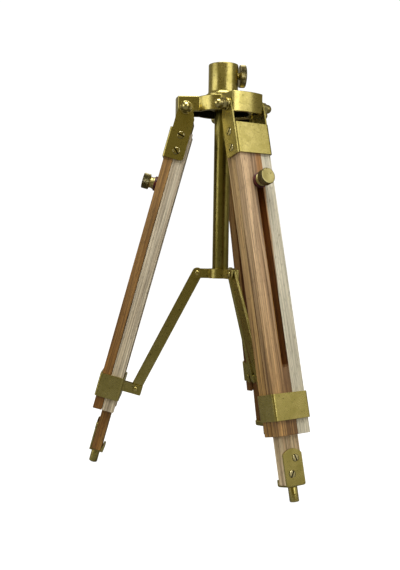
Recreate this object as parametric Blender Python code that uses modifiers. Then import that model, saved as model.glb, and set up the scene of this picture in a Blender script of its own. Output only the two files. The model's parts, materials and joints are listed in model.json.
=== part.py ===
"""Tabletop tripod in brass and wood: a three-lobed head with a socket cup on top, three
folding legs with sliding extensions, and a spreader hub on a centre column.

Metres, +Z up. The tripod stands on z = 0 with its box centred on the origin, so its column
stands a little off centre: one leg points along -X and the other two straddle +X.

Each leg has its own frame, an empty on its hinge: local +X is the leg's outer side, local Y
runs along the hinge and local -Z runs down the leg. Distances down the leg are from the hinge.
"""
import math

import bpy
from mathutils import Matrix, Vector

OBJECT_NAME = "tripod"

# Overall layout
SOCKET_TOP = 0.400
LEG_TILT = math.radians(15.3)
LEG_AZIMUTHS = {"left": math.pi, "front": -math.pi / 3, "rear": math.pi / 3}
HINGE_RADIUS = 0.0362
GAP = 0.0003
MERGE_DISTANCE = 0.00001

# Leg timber
LEG_WIDTH = 0.0346
BOARD_OUTER = 0.0080
BOARD_INNER = -0.0010
RAIL_INNER = -0.0131
TIMBER_TOP = 0.0224
TIMBER_END = 0.3078
SLOT_WIDTH = 0.0075
SLOT_TOP = 0.0720
SLOT_END = 0.2500
EXTENSION_WIDTH = 0.0208
EXTENSION_INNER = -0.0108
EXTENSION_TOP = 0.0640
EXTENSION_END = 0.3500
TIMBER_EDGE = 0.0007

# Sheet brass, and the leg bracket made of it
PLATE = 0.0015
PLATE_EDGE = 0.0004
BEND_RADIUS = 0.0027
STRAP_TOP_RADIUS = 0.0068
STRAP_OUTER = 0.0076
STRAP_INNER = -0.0108
STRAP_SHOULDER = 0.0090
BRACKET_END = 0.0505
BRACKET_PLATE_TOP = 0.0210
BRACKET_CORNER = 0.0035

# Collar with its clevis
COLLAR_TOP = 0.2714
COLLAR_END = 0.2947
CLEVIS_TOP = 0.2770
CLEVIS_END = 0.2868
CLEVIS_REACH = -0.0340
CLEVIS_PIN_X = -0.0273
CLEVIS_PIN_DOWN = 0.2815
CLEVIS_EAR = 0.0020

# Foot
FOOT_PLATE_TOP = 0.3195
FOOT_PLATE_END = 0.3518
FOOT_PLATE_ARCH = 0.0136
FOOT_LIP_TOP = 0.3452
FOOT_CURL = 0.0024
FOOT_CORNER = 0.0022
FOOT_PIN_RADIUS = 0.0042
FOOT_PIN_END = 0.3650
FOOT_PIN_CHAMFER = 0.0008
FOOT_PIN_SHANK = 0.0020
FOOT_PIN_SHANK_TOP = 0.3446
FOOT_SCREWS = ((0.3280, 0.0029), (0.3410, -0.0029))
FOOT_SCREW_HEAD = 0.0033
FOOT_SCREW_RIM = 0.0003
FOOT_SCREW_CROWN = 0.0008
FOOT_SCREW_FLAT = 0.0022
FOOT_SCREW_DISH = 0.0002
FOOT_SCREW_SHANK = 0.0013
FOOT_SCREW_LENGTH = 0.0080

# Thumbscrew that locks the extension
LOCK_DOWN = 0.0772
LOCK_KNOB_RADIUS = 0.0077
LOCK_KNOB_INNER = 0.0160
LOCK_KNOB_OUTER = 0.0229
LOCK_WAIST_RADIUS = 0.0055
LOCK_WAIST = 0.0134
LOCK_FLANGE_RADIUS = 0.0061
LOCK_FLANGE = 0.0008
LOCK_STEM = 0.0025
WASHER_RADIUS = 0.0073
WASHER_THICKNESS = 0.0027

# Head casting and hinge bolts
HEAD_TOP = 0.3663
HEAD_SKIRT = 0.0190
DRUM_SKIRT = 0.0145
SHORT_SKIRT_RADIUS = 0.0340
HEAD_TOP_PLATE = 0.0035
HEAD_WALL = 0.0026
LOBE_HALF_WIDTH = 0.0169
LOBE_END_RADIUS = 0.0470
DRUM_RADIUS = 0.0290
BOLT_RADIUS = 0.0024
BOLT_WASHER_RADIUS = 0.0062
BOLT_WASHER = 0.0012
NUT_ACROSS_FLATS = 0.0096
NUT_HEIGHT = 0.0046
NUT_DOME_RADIUS = 0.0043
NUT_DOME_REACH = 0.0126

# Socket cup and its thumbscrew
SOCKET_RADIUS = 0.0147
SOCKET_WALL = 0.0020
SOCKET_LIP = 0.0005
SOCKET_FLOOR = 0.3752
SOCKET_BASE_RADIUS = 0.0172
SOCKET_BASE_TOP = 0.3708
SOCKET_FLARE_TOP = 0.3745
SOCKET_FLARE_WIDTH = 0.0005
SOCKET_FLARE_DROP = 0.0012
SOCKET_BASE_EDGE = 0.0006
CLAMP_HEIGHT = 0.3900
CLAMP_AZIMUTH = math.radians(8)
CLAMP_DISC_RADIUS = 0.0110
CLAMP_DISC_INNER = 0.0161
CLAMP_DISC_OUTER = 0.0219
CLAMP_NECK_RADIUS = 0.0030
CLAMP_STEM_RADIUS = 0.0020

# Centre column, spreader hub and arms
COLUMN_RADIUS = 0.0081
COLUMN_WALL = 0.0015
COLUMN_BOTTOM = 0.1900
COLUMN_TOP = 0.3720
COLUMN_NUT_ACROSS_FLATS = 0.0230
COLUMN_NUT_HEIGHT = 0.0065
HUB_BOTTOM = 0.1892
HUB_HEIGHT = 0.0094
HUB_RING_RADIUS = 0.0130
HUB_EAR_REACH = 0.0270
HUB_EAR_HALF = 0.0043
HUB_SLOT_HALF = 0.0018
HUB_SLOT_BASE = 0.0145
HUB_PIVOT_RADIUS = 0.0230
HUB_PIVOT_UP = 0.0050
ARM_WIDTH = 0.0108
ARM_THICKNESS = 0.0028
ARM_SLOT_WIDTH = 0.0046
ARM_SLOT_LENGTH = 0.0076
PIVOT_PIN_RADIUS = 0.0014
PIVOT_HEAD_RADIUS = 0.0026
PIVOT_HEAD = 0.0010
PIVOT_CROWN = 0.0018

# Edges broken on castings, tubes, knobs and the column's nut
CAST_EDGE = 0.0006
TUBE_EDGE = 0.0004
KNOB_EDGE = 0.0006
COLUMN_NUT_EDGE = 0.0005

# Roundness of turned and drawn shapes
TURN_STEPS = 28
KNOB_STEPS = 20
SMALL_STEPS = 12
HEXAGON = 6
ARC_POINTS = 6
BEND_POINTS = 5
DOME_POINTS = 4
FOOT_ARCH_POINTS = 13

# Where the hinge axis comes out, from the foot pin's lowest edge on the floor
PIN_X = (BOARD_INNER + EXTENSION_INNER) / 2
HINGE_HEIGHT = (FOOT_PIN_END * math.cos(LEG_TILT)
                - (PIN_X - FOOT_PIN_RADIUS + FOOT_PIN_CHAMFER) * math.sin(LEG_TILT))
HEAD_BOTTOM = HEAD_TOP - HEAD_SKIRT
BRACKET_HALF = LEG_WIDTH / 2 + GAP + PLATE
PLATE_OUTER = BOARD_OUTER + GAP + PLATE

FINISHES = {
    "brass": ((0.50, 0.41, 0.14), 1.0, 0.38),
    "bright_brass": ((0.58, 0.47, 0.17), 1.0, 0.28),
    "sapwood": ((0.62, 0.47, 0.31), 0.0, 0.55),
    "pale_wood": ((0.66, 0.55, 0.40), 0.0, 0.60),
    "brown_wood": ((0.40, 0.24, 0.12), 0.0, 0.55),
    "red_fibre": ((0.22, 0.02, 0.02), 0.0, 0.65),
}


# ---------------------------------------------------------------- scene and helpers

def clear_scene():
    for old in list(bpy.data.objects):
        bpy.data.objects.remove(old, do_unlink=True)


def new_collection(name):
    collection = bpy.data.collections.new(name)
    bpy.context.scene.collection.children.link(collection)
    return collection


def new_empty(name, parent, location, rotation=(0, 0, 0)):
    empty = bpy.data.objects.new(name, None)
    parts.objects.link(empty)
    empty.parent = parent
    empty.location = location
    empty.rotation_euler = rotation
    return empty


def place(name, data, parent, location=(0, 0, 0), rotation=(0, 0, 0)):
    """Put data in the scene as a part, or as a cutter when its name says so."""
    item = bpy.data.objects.new(name, data)
    item.parent = parent
    item.location = location
    item.rotation_euler = rotation
    if name.startswith("cut_") or name.startswith("add_"):
        cutters.objects.link(item)
        item.hide_render = True
        item.display_type = "WIRE"
    else:
        parts.objects.link(item)
    return item


def finish(item, finish_name):
    """Give a part its own material."""
    colour, metallic, roughness = FINISHES[finish_name]
    material = bpy.data.materials.new(item.name)
    material.use_nodes = True
    shader = material.node_tree.nodes["Principled BSDF"]
    shader.inputs["Base Color"].default_value = (*colour, 1.0)
    shader.inputs["Metallic"].default_value = metallic
    shader.inputs["Roughness"].default_value = roughness
    item.data.materials.clear()
    item.data.materials.append(material)
    return item


def smooth(item, angle=math.radians(35)):
    item.data.shade_smooth()
    item.data.set_sharp_from_angle(angle=angle)


def weld(item):
    step = item.modifiers.new("weld", "WELD")
    step.merge_threshold = MERGE_DISTANCE


def bevel(item, width, segments=1):
    step = item.modifiers.new("bevel", "BEVEL")
    step.width = width
    step.segments = segments
    step.limit_method = "ANGLE"
    step.angle_limit = math.radians(40)


def boolean(item, tool, operation="DIFFERENCE"):
    step = item.modifiers.new(tool.name, "BOOLEAN")
    step.operation = operation
    step.object = tool


def box(name, parent, low, high):
    """A box between two corners of its parent's frame."""
    bpy.ops.mesh.primitive_cube_add(size=1)
    cube = bpy.context.object
    mesh = cube.data
    bpy.data.objects.remove(cube, do_unlink=True)
    low = Vector(low)
    high = Vector(high)
    mesh.transform(Matrix.Translation((low + high) / 2) @ Matrix.Diagonal((*(high - low), 1)))
    mesh.name = name
    return place(name, mesh, parent)


def rod(name, parent, radius, start, end, steps=SMALL_STEPS):
    """A round bar between two points of its parent's frame."""
    start = Vector(start)
    end = Vector(end)
    length = (end - start).length
    bpy.ops.mesh.primitive_cylinder_add(radius=radius, depth=length, vertices=steps)
    cylinder = bpy.context.object
    mesh = cylinder.data
    bpy.data.objects.remove(cylinder, do_unlink=True)
    turn = (end - start).to_track_quat("Z", "Y").to_matrix().to_4x4()
    mesh.transform(Matrix.Translation((start + end) / 2) @ turn)
    mesh.name = name
    return place(name, mesh, parent)


def turned(name, parent, profile, location=(0, 0, 0), rotation=(0, 0, 0),
           ring=False, steps=TURN_STEPS):
    """Turn a profile of (radius, height) points, outer side downwards, about local Z.

    A ring's profile is a closed loop; any other profile starts and ends on the axis.
    """
    points = [(radius, 0, height) for radius, height in profile]
    edges = [(i, i + 1) for i in range(len(points) - 1)]
    if ring:
        edges.append((len(points) - 1, 0))
    mesh = bpy.data.meshes.new(name)
    mesh.from_pydata(points, edges, [])
    item = place(name, mesh, parent, location, rotation)
    step = item.modifiers.new("turn", "SCREW")
    step.steps = steps
    step.render_steps = steps
    step.use_merge_vertices = True
    step.merge_threshold = MERGE_DISTANCE
    step.use_normal_calculate = False
    step.use_smooth_shade = True
    return item


def outline(name, parent, loops, thickness, location=(0, 0, 0), rotation=(0, 0, 0)):
    """A flat plate from closed loops of (x, y) points: the first is its rim, the rest are holes."""
    curve = bpy.data.curves.new(name, "CURVE")
    curve.dimensions = "2D"
    curve.fill_mode = "BOTH"
    curve.extrude = thickness / 2
    for loop in loops:
        spline = curve.splines.new("POLY")
        spline.points.add(len(loop) - 1)
        for point, (x, y) in zip(spline.points, loop):
            point.co = (x, y, 0, 1)
        spline.use_cyclic_u = True
    plate = place(name, curve, parent, location, rotation)
    weld(plate)
    return plate


def as_mesh(plate):
    """Replace a curve by a welded mesh in the same place, so that it can be cut."""
    bpy.context.view_layer.update()
    evaluated = plate.evaluated_get(bpy.context.evaluated_depsgraph_get())
    mesh = bpy.data.meshes.new_from_object(evaluated)
    name, parent = plate.name, plate.parent
    location, rotation = plate.location.copy(), plate.rotation_euler.copy()
    bpy.data.objects.remove(plate, do_unlink=True)
    mesh.name = name
    return place(name, mesh, parent, location, rotation)


def arc(centre, radius, start, end, points=ARC_POINTS):
    """Points on an arc between two angles in radians, ends included."""
    angles = [start + (end - start) * i / (points - 1) for i in range(points)]
    return [(centre[0] + radius * math.cos(a), centre[1] + radius * math.sin(a)) for a in angles]


def circle(centre, radius, points=SMALL_STEPS):
    return arc(centre, radius, 0, 2 * math.pi * (1 - 1 / points), points)


def rounded_bar(length, radius):
    """The outline of a bar with round ends: its pivots are at the origin and at (0, -length)."""
    return (arc((0, 0), radius, 0, math.pi)
            + arc((0, -length), radius, math.pi, 2 * math.pi))


def rounded_rectangle(low, high, radius):
    """A rectangle between two corners, its four corners rounded."""
    left, right = low[0] + radius, high[0] - radius
    bottom, top = low[1] + radius, high[1] - radius
    points = []
    for quarter, centre in enumerate(((right, bottom), (right, top), (left, top), (left, bottom))):
        start = (quarter - 1) * math.pi / 2
        points += arc(centre, radius, start, start + math.pi / 2, BEND_POINTS)
    return points


def turned_about(azimuth, points):
    cosine, sine = math.cos(azimuth), math.sin(azimuth)
    return [(cosine * x - sine * y, sine * x + cosine * y) for x, y in points]


# A plate drawn in (x, y) stands in its parent's XZ plane when it is turned by this rotation,
# with its drawing's y going up.
UPRIGHT = (math.pi / 2, 0, 0)
# A plate drawn on a leg's outer face faces its parent's +X: the drawing's x runs along the hinge.
FACING_OUT = (math.pi / 2, 0, math.pi / 2)
# Turned pieces lie along their parent's +X, or along its +Y or -Y, with these.
ALONG_X = (0, math.pi / 2, 0)
ALONG_Y = (-math.pi / 2, 0, 0)
AGAINST_Y = (math.pi / 2, 0, 0)


# ---------------------------------------------------------------- head, socket and column

def lobed_outline(inset=0.0):
    """The head's plan: three lobes with flat sides and round ends, standing out of a drum."""
    half = LOBE_HALF_WIDTH - inset
    end_radius = LOBE_END_RADIUS - inset
    drum_radius = DRUM_RADIUS - inset
    end_angle = math.asin(half / end_radius)
    root_angle = math.asin(half / drum_radius)
    points = []
    for azimuth in sorted(LEG_AZIMUTHS.values()):
        points += turned_about(azimuth, arc((0, 0), end_radius, -end_angle, end_angle))
        points += turned_about(azimuth, arc((0, 0), drum_radius, root_angle,
                                            2 * math.pi / 3 - root_angle))
    return points


def make_head():
    """The casting: its skirt is shorter near the axis than at the lobes' ends."""
    head = outline("head_casting", column_frame, [lobed_outline()], HEAD_SKIRT,
                   (0, 0, HEAD_TOP - HEAD_SKIRT / 2))
    head = as_mesh(head)
    bevel(head, CAST_EDGE)
    shorter = rod("cut_head_skirt", column_frame, SHORT_SKIRT_RADIUS,
                  (0, 0, HEAD_BOTTOM - HEAD_WALL), (0, 0, HEAD_TOP - DRUM_SKIRT), TURN_STEPS)
    boolean(head, shorter)
    hollow = outline("cut_head_hollow", column_frame, [lobed_outline(HEAD_WALL)], HEAD_SKIRT,
                     (0, 0, HEAD_TOP - HEAD_TOP_PLATE - HEAD_SKIRT / 2))
    boolean(head, as_mesh(hollow))
    bore = rod("cut_head_bore", column_frame, COLUMN_RADIUS + GAP,
               (0, 0, HEAD_BOTTOM), (0, 0, HEAD_TOP + HEAD_WALL), TURN_STEPS)
    boolean(head, bore)
    for side, frame in side_frames.items():
        reach = LOBE_HALF_WIDTH + HEAD_WALL
        hole = rod("cut_head_bolt_" + side, frame, BOLT_RADIUS + GAP,
                   (HINGE_RADIUS, -reach, HINGE_HEIGHT), (HINGE_RADIUS, reach, HINGE_HEIGHT))
        boolean(head, hole)
    smooth(head)
    finish(head, "brass")


def make_hinge_bolt(side):
    """A cross bolt with a domed hexagon head at one end and a domed nut at the other."""
    frame = side_frames[side]
    seat = BRACKET_HALF + GAP
    flange = seat + BOLT_WASHER
    hexagon_end = flange + NUT_HEIGHT
    dome_centre = seat + NUT_DOME_REACH - NUT_DOME_RADIUS
    dome = arc((0, dome_centre), NUT_DOME_RADIUS, math.pi / 2, 0, DOME_POINTS)
    outside = (dome
               + [(NUT_DOME_RADIUS, hexagon_end), (NUT_DOME_RADIUS, flange),
                  (BOLT_WASHER_RADIUS, flange), (BOLT_WASHER_RADIUS, seat)])
    shank_end = hexagon_end - 2 * GAP
    bore = BOLT_RADIUS + GAP
    bolt_profile = outside + [(BOLT_RADIUS, seat), (BOLT_RADIUS, -shank_end), (0, -shank_end)]
    nut_profile = outside + [(bore, seat), (bore, hexagon_end - GAP), (0, hexagon_end - GAP)]
    hexagon_loops = [circle((0, 0), NUT_ACROSS_FLATS / math.sqrt(3), HEXAGON),
                     circle((0, 0), NUT_DOME_RADIUS - GAP)]
    hexagon_height = NUT_HEIGHT - BOLT_WASHER / 4
    ends = (("hinge_bolt_", bolt_profile, ALONG_Y, 1), ("hinge_nut_", nut_profile, AGAINST_Y, -1))
    for prefix, profile, rotation, direction in ends:
        item = turned(prefix + side, frame, profile,
                      (HINGE_RADIUS, 0, HINGE_HEIGHT), rotation, steps=SMALL_STEPS)
        hexagon = outline("add_" + prefix + side, frame, hexagon_loops, hexagon_height,
                          (HINGE_RADIUS, direction * (flange + NUT_HEIGHT / 2), HINGE_HEIGHT),
                          rotation)
        boolean(item, as_mesh(hexagon), "UNION")
        smooth(item)
        finish(item, "bright_brass")


def make_socket():
    inner = SOCKET_RADIUS - SOCKET_WALL
    seat = COLUMN_RADIUS + GAP
    foot = HEAD_TOP + GAP
    edge = SOCKET_BASE_EDGE
    inside = [(0, SOCKET_FLOOR), (inner, SOCKET_FLOOR), (inner, SOCKET_TOP - SOCKET_LIP),
              (inner + SOCKET_LIP, SOCKET_TOP)]
    outside = [(SOCKET_RADIUS - SOCKET_LIP, SOCKET_TOP), (SOCKET_RADIUS, SOCKET_TOP - SOCKET_LIP),
               (SOCKET_RADIUS, SOCKET_FLARE_TOP),
               (SOCKET_RADIUS + SOCKET_FLARE_WIDTH, SOCKET_FLARE_TOP - SOCKET_FLARE_DROP),
               (SOCKET_BASE_RADIUS - edge, SOCKET_BASE_TOP + edge),
               (SOCKET_BASE_RADIUS, SOCKET_BASE_TOP), (SOCKET_BASE_RADIUS, foot),
               (seat, foot), (seat, COLUMN_TOP + GAP), (0, COLUMN_TOP + GAP)]
    cup = turned("socket_cup", column_frame, inside + outside)
    hole = rod("cut_socket_clamp", clamp_frame, CLAMP_STEM_RADIUS + GAP,
               (0, 0, 0), (SOCKET_BASE_RADIUS, 0, 0))
    boolean(cup, hole)
    smooth(cup)
    finish(cup, "brass")


def make_socket_thumbscrew():
    """A coin-shaped thumbscrew whose stem ends just short of the socket's bore."""
    edge = KNOB_EDGE
    tip = SOCKET_RADIUS - SOCKET_WALL + GAP
    profile = [(0, CLAMP_DISC_OUTER), (CLAMP_DISC_RADIUS - edge, CLAMP_DISC_OUTER),
               (CLAMP_DISC_RADIUS, CLAMP_DISC_OUTER - edge),
               (CLAMP_DISC_RADIUS, CLAMP_DISC_INNER + edge),
               (CLAMP_DISC_RADIUS - edge, CLAMP_DISC_INNER),
               (CLAMP_NECK_RADIUS, CLAMP_DISC_INNER),
               (CLAMP_NECK_RADIUS, SOCKET_RADIUS + GAP),
               (CLAMP_STEM_RADIUS, SOCKET_RADIUS + GAP), (CLAMP_STEM_RADIUS, tip), (0, tip)]
    screw = turned("socket_thumbscrew", clamp_frame, profile, rotation=ALONG_X)
    smooth(screw)
    finish(screw, "brass")


def make_column():
    inner = COLUMN_RADIUS - COLUMN_WALL
    edge = TUBE_EDGE
    profile = [(inner, COLUMN_TOP), (COLUMN_RADIUS - edge, COLUMN_TOP),
               (COLUMN_RADIUS, COLUMN_TOP - edge), (COLUMN_RADIUS, COLUMN_BOTTOM + edge),
               (COLUMN_RADIUS - edge, COLUMN_BOTTOM), (inner, COLUMN_BOTTOM)]
    column = turned("centre_column", column_frame, profile, ring=True)
    smooth(column)
    finish(column, "bright_brass")
    top = HEAD_TOP - HEAD_TOP_PLATE - GAP
    nut = outline("column_nut", column_frame,
                  [circle((0, 0), COLUMN_NUT_ACROSS_FLATS / math.sqrt(3), HEXAGON),
                   circle((0, 0), COLUMN_RADIUS + GAP, TURN_STEPS)],
                  COLUMN_NUT_HEIGHT, (0, 0, top - COLUMN_NUT_HEIGHT / 2))
    bevel(nut, COLUMN_NUT_EDGE)
    finish(nut, "brass")


# ---------------------------------------------------------------- spreader hub and arms

def hub_outline():
    points = []
    root_angle = math.asin(HUB_EAR_HALF / HUB_RING_RADIUS)
    for azimuth in sorted(LEG_AZIMUTHS.values()):
        ear = [(HUB_RING_RADIUS * math.cos(root_angle), -HUB_EAR_HALF),
               (HUB_EAR_REACH, -HUB_EAR_HALF), (HUB_EAR_REACH, -HUB_SLOT_HALF),
               (HUB_SLOT_BASE, -HUB_SLOT_HALF), (HUB_SLOT_BASE, HUB_SLOT_HALF),
               (HUB_EAR_REACH, HUB_SLOT_HALF), (HUB_EAR_REACH, HUB_EAR_HALF),
               (HUB_RING_RADIUS * math.cos(root_angle), HUB_EAR_HALF)]
        points += turned_about(azimuth, ear)
        between = arc((0, 0), HUB_RING_RADIUS, root_angle, 2 * math.pi / 3 - root_angle)
        points += turned_about(azimuth, between)[1:-1]
    return points


def make_hub():
    rim = hub_outline()
    bore = circle((0, 0), COLUMN_RADIUS + GAP, TURN_STEPS)
    hub = as_mesh(outline("spreader_hub", hub_frame, [rim, bore], HUB_HEIGHT))
    bevel(hub, PLATE_EDGE)
    for side, azimuth in LEG_AZIMUTHS.items():
        turn = Matrix.Rotation(azimuth, 3, "Z")
        up = HUB_PIVOT_UP - HUB_HEIGHT / 2
        start = turn @ Vector((HUB_PIVOT_RADIUS, -2 * HUB_EAR_HALF, up))
        end = turn @ Vector((HUB_PIVOT_RADIUS, 2 * HUB_EAR_HALF, up))
        boolean(hub, rod("cut_hub_pin_" + side, hub_frame, PIVOT_PIN_RADIUS + GAP, start, end))
    smooth(hub)
    finish(hub, "brass")


def pivot_pin(name, parent, location, ears):
    """A riveted pin along the parent's Y, its heads just outside a pair of ears."""
    inner = ears + GAP
    outer = inner + PIVOT_HEAD
    profile = [(0, outer), (PIVOT_CROWN, outer), (PIVOT_HEAD_RADIUS, inner + PIVOT_HEAD / 2),
               (PIVOT_HEAD_RADIUS, inner), (PIVOT_PIN_RADIUS, inner)]
    mirrored = [(radius, -height) for radius, height in reversed(profile)]
    pin = turned(name, parent, profile + mirrored, location, ALONG_Y, steps=SMALL_STEPS)
    smooth(pin)
    finish(pin, "bright_brass")


def make_arm(side):
    """A flat bar from the hub's ear to the leg's clevis, with a slotted lower eye."""
    pivot_height = HUB_BOTTOM + HUB_PIVOT_UP
    clevis = (leg_frames[side].matrix_basis
              @ Vector((CLEVIS_PIN_X, 0, -CLEVIS_PIN_DOWN)))
    run = Vector((clevis.x - HUB_PIVOT_RADIUS, clevis.z - pivot_height))
    lean = math.atan2(run.x, -run.y)
    arm_frame = new_empty("arm_frame_" + side, side_frames[side],
                          (HUB_PIVOT_RADIUS, 0, pivot_height), (0, -lean, 0))
    half_slot = (ARM_SLOT_LENGTH - ARM_SLOT_WIDTH) / 2
    eye = [(x, y + half_slot - run.length)
           for x, y in rounded_bar(2 * half_slot, ARM_SLOT_WIDTH / 2)]
    loops = [rounded_bar(run.length, ARM_WIDTH / 2),
             circle((0, 0), PIVOT_PIN_RADIUS + GAP), eye]
    arm = outline("arm_" + side, arm_frame, loops, ARM_THICKNESS, rotation=UPRIGHT)
    finish(arm, "brass")
    pivot_pin("hub_pin_" + side, side_frames[side],
              (HUB_PIVOT_RADIUS, 0, pivot_height), HUB_EAR_HALF)


# ---------------------------------------------------------------- legs

def folded_section():
    """The bracket's section across the leg: a plate with a strap folded back at each side."""
    inside = LEG_WIDTH / 2 + GAP
    inner_bend = BEND_RADIUS - PLATE
    open_side = 2 * STRAP_INNER
    outer_face = rounded_rectangle((open_side, -BRACKET_HALF), (PLATE_OUTER, BRACKET_HALF),
                                   BEND_RADIUS)[:2 * BEND_POINTS]
    inner_face = rounded_rectangle((open_side, -inside), (BOARD_OUTER + GAP, inside),
                                   inner_bend)[:2 * BEND_POINTS]
    ends = [(open_side, BRACKET_HALF), (open_side, inside)]
    return outer_face + ends + inner_face[::-1] + [(x, -y) for x, y in reversed(ends)]


def make_bracket(side, frame):
    """A sheet bracket: a plate over the leg's outer face, folded back into two hinge straps."""
    corner = (STRAP_INNER + BRACKET_CORNER, -BRACKET_END + BRACKET_CORNER)
    beyond = PLATE_OUTER + PLATE
    profile = (arc((0, 0), STRAP_TOP_RADIUS, 0, math.pi)
               + [(STRAP_INNER, -STRAP_SHOULDER)]
               + arc(corner, BRACKET_CORNER, math.pi, 1.5 * math.pi, BEND_POINTS)
               + [(beyond, -BRACKET_END), (beyond, -BRACKET_PLATE_TOP),
                  (STRAP_OUTER, -BRACKET_PLATE_TOP), (STRAP_OUTER, -STRAP_SHOULDER)])
    hinge_hole = circle((0, 0), BOLT_RADIUS + GAP)
    trim = outline("cut_bracket_" + side, frame, [profile, hinge_hole],
                   2 * (BRACKET_HALF + PLATE), rotation=UPRIGHT)
    bracket = outline("bracket_" + side, frame, [folded_section()], 4 * BRACKET_END)
    bracket = as_mesh(bracket)
    boolean(bracket, as_mesh(trim), "INTERSECT")
    smooth(bracket)
    finish(bracket, "brass")


def make_timber(side, frame):
    """The slotted outer board, and the two rails glued behind it that guide the extension."""
    half = LEG_WIDTH / 2
    thickness = BOARD_OUTER - BOARD_INNER
    rim = [(-half, -TIMBER_TOP), (-half, -TIMBER_END), (half, -TIMBER_END), (half, -TIMBER_TOP)]
    slot_radius = SLOT_WIDTH / 2
    slot = [(x, y - SLOT_TOP - slot_radius)
            for x, y in rounded_bar(SLOT_END - SLOT_TOP - SLOT_WIDTH, slot_radius)]
    board = outline("outer_board_" + side, frame, [rim, slot], thickness,
                    ((BOARD_OUTER + BOARD_INNER) / 2, 0, 0), FACING_OUT)
    bevel(board, TIMBER_EDGE)
    finish(board, "sapwood")
    for hand, sign in (("a", -1), ("b", 1)):
        near, far = sorted((sign * half, sign * (EXTENSION_WIDTH / 2 + GAP)))
        rail = box("rail_" + hand + "_" + side, frame,
                   (RAIL_INNER, near, -TIMBER_END), (BOARD_INNER - GAP, far, -TIMBER_TOP))
        bevel(rail, TIMBER_EDGE)
        finish(rail, "pale_wood")


def make_collar(side, frame):
    """A band round the leg's foot, with two ears on its inner side for the arm."""
    inside = LEG_WIDTH / 2 + GAP
    outside = inside + PLATE
    inner = RAIL_INNER - GAP
    section = [rounded_rectangle((inner - PLATE, -outside), (PLATE_OUTER, outside), BEND_RADIUS),
               rounded_rectangle((inner, -inside), (BOARD_OUTER + GAP, inside),
                                 BEND_RADIUS - PLATE)]
    collar = as_mesh(outline("collar_" + side, frame, section, COLLAR_END - COLLAR_TOP,
                             (0, 0, -(COLLAR_TOP + COLLAR_END) / 2)))
    bevel(collar, PLATE_EDGE)
    ear_outer = HUB_SLOT_HALF + CLEVIS_EAR
    for hand, near, far in (("a", -ear_outer, -HUB_SLOT_HALF), ("b", HUB_SLOT_HALF, ear_outer)):
        ear = box("add_clevis_" + hand + "_" + side, frame,
                  (CLEVIS_REACH, near, -CLEVIS_END), (inner - PLATE / 2, far, -CLEVIS_TOP))
        bevel(ear, PLATE_EDGE)
        boolean(collar, ear, "UNION")
    pin_hole = rod("cut_clevis_" + side, frame, PIVOT_PIN_RADIUS + GAP,
                   (CLEVIS_PIN_X, -2 * ear_outer, -CLEVIS_PIN_DOWN),
                   (CLEVIS_PIN_X, 2 * ear_outer, -CLEVIS_PIN_DOWN))
    boolean(collar, pin_hole)
    smooth(collar)
    finish(collar, "brass")
    pivot_pin("clevis_pin_" + side, frame, (CLEVIS_PIN_X, 0, -CLEVIS_PIN_DOWN), ear_outer)


def make_extension(side, frame):
    """The sliding lower leg, bored for its lock, its foot pin and its foot screws."""
    half = EXTENSION_WIDTH / 2
    outer = BOARD_INNER - GAP
    bar = box("extension_" + side, frame,
              (EXTENSION_INNER, -half, -EXTENSION_END), (outer, half, -EXTENSION_TOP))
    bevel(bar, TIMBER_EDGE)
    lock_hole = rod("cut_lock_" + side, frame, LOCK_STEM + GAP,
                    (2 * RAIL_INNER, 0, -LOCK_DOWN), (BOARD_OUTER, 0, -LOCK_DOWN))
    boolean(bar, lock_hole)
    shank_hole = rod("cut_foot_shank_" + side, frame, FOOT_PIN_SHANK + GAP,
                     (PIN_X, 0, -FOOT_PLATE_END), (PIN_X, 0, -FOOT_PIN_SHANK_TOP + GAP))
    boolean(bar, shank_hole)
    for number, (down, across) in enumerate(FOOT_SCREWS, 1):
        hole = rod(f"cut_foot_screw_{number}_{side}", frame, FOOT_SCREW_SHANK + GAP,
                   (outer - FOOT_SCREW_LENGTH, across, -down), (BOARD_OUTER, across, -down))
        boolean(bar, hole)
    finish(bar, "brown_wood")


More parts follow.
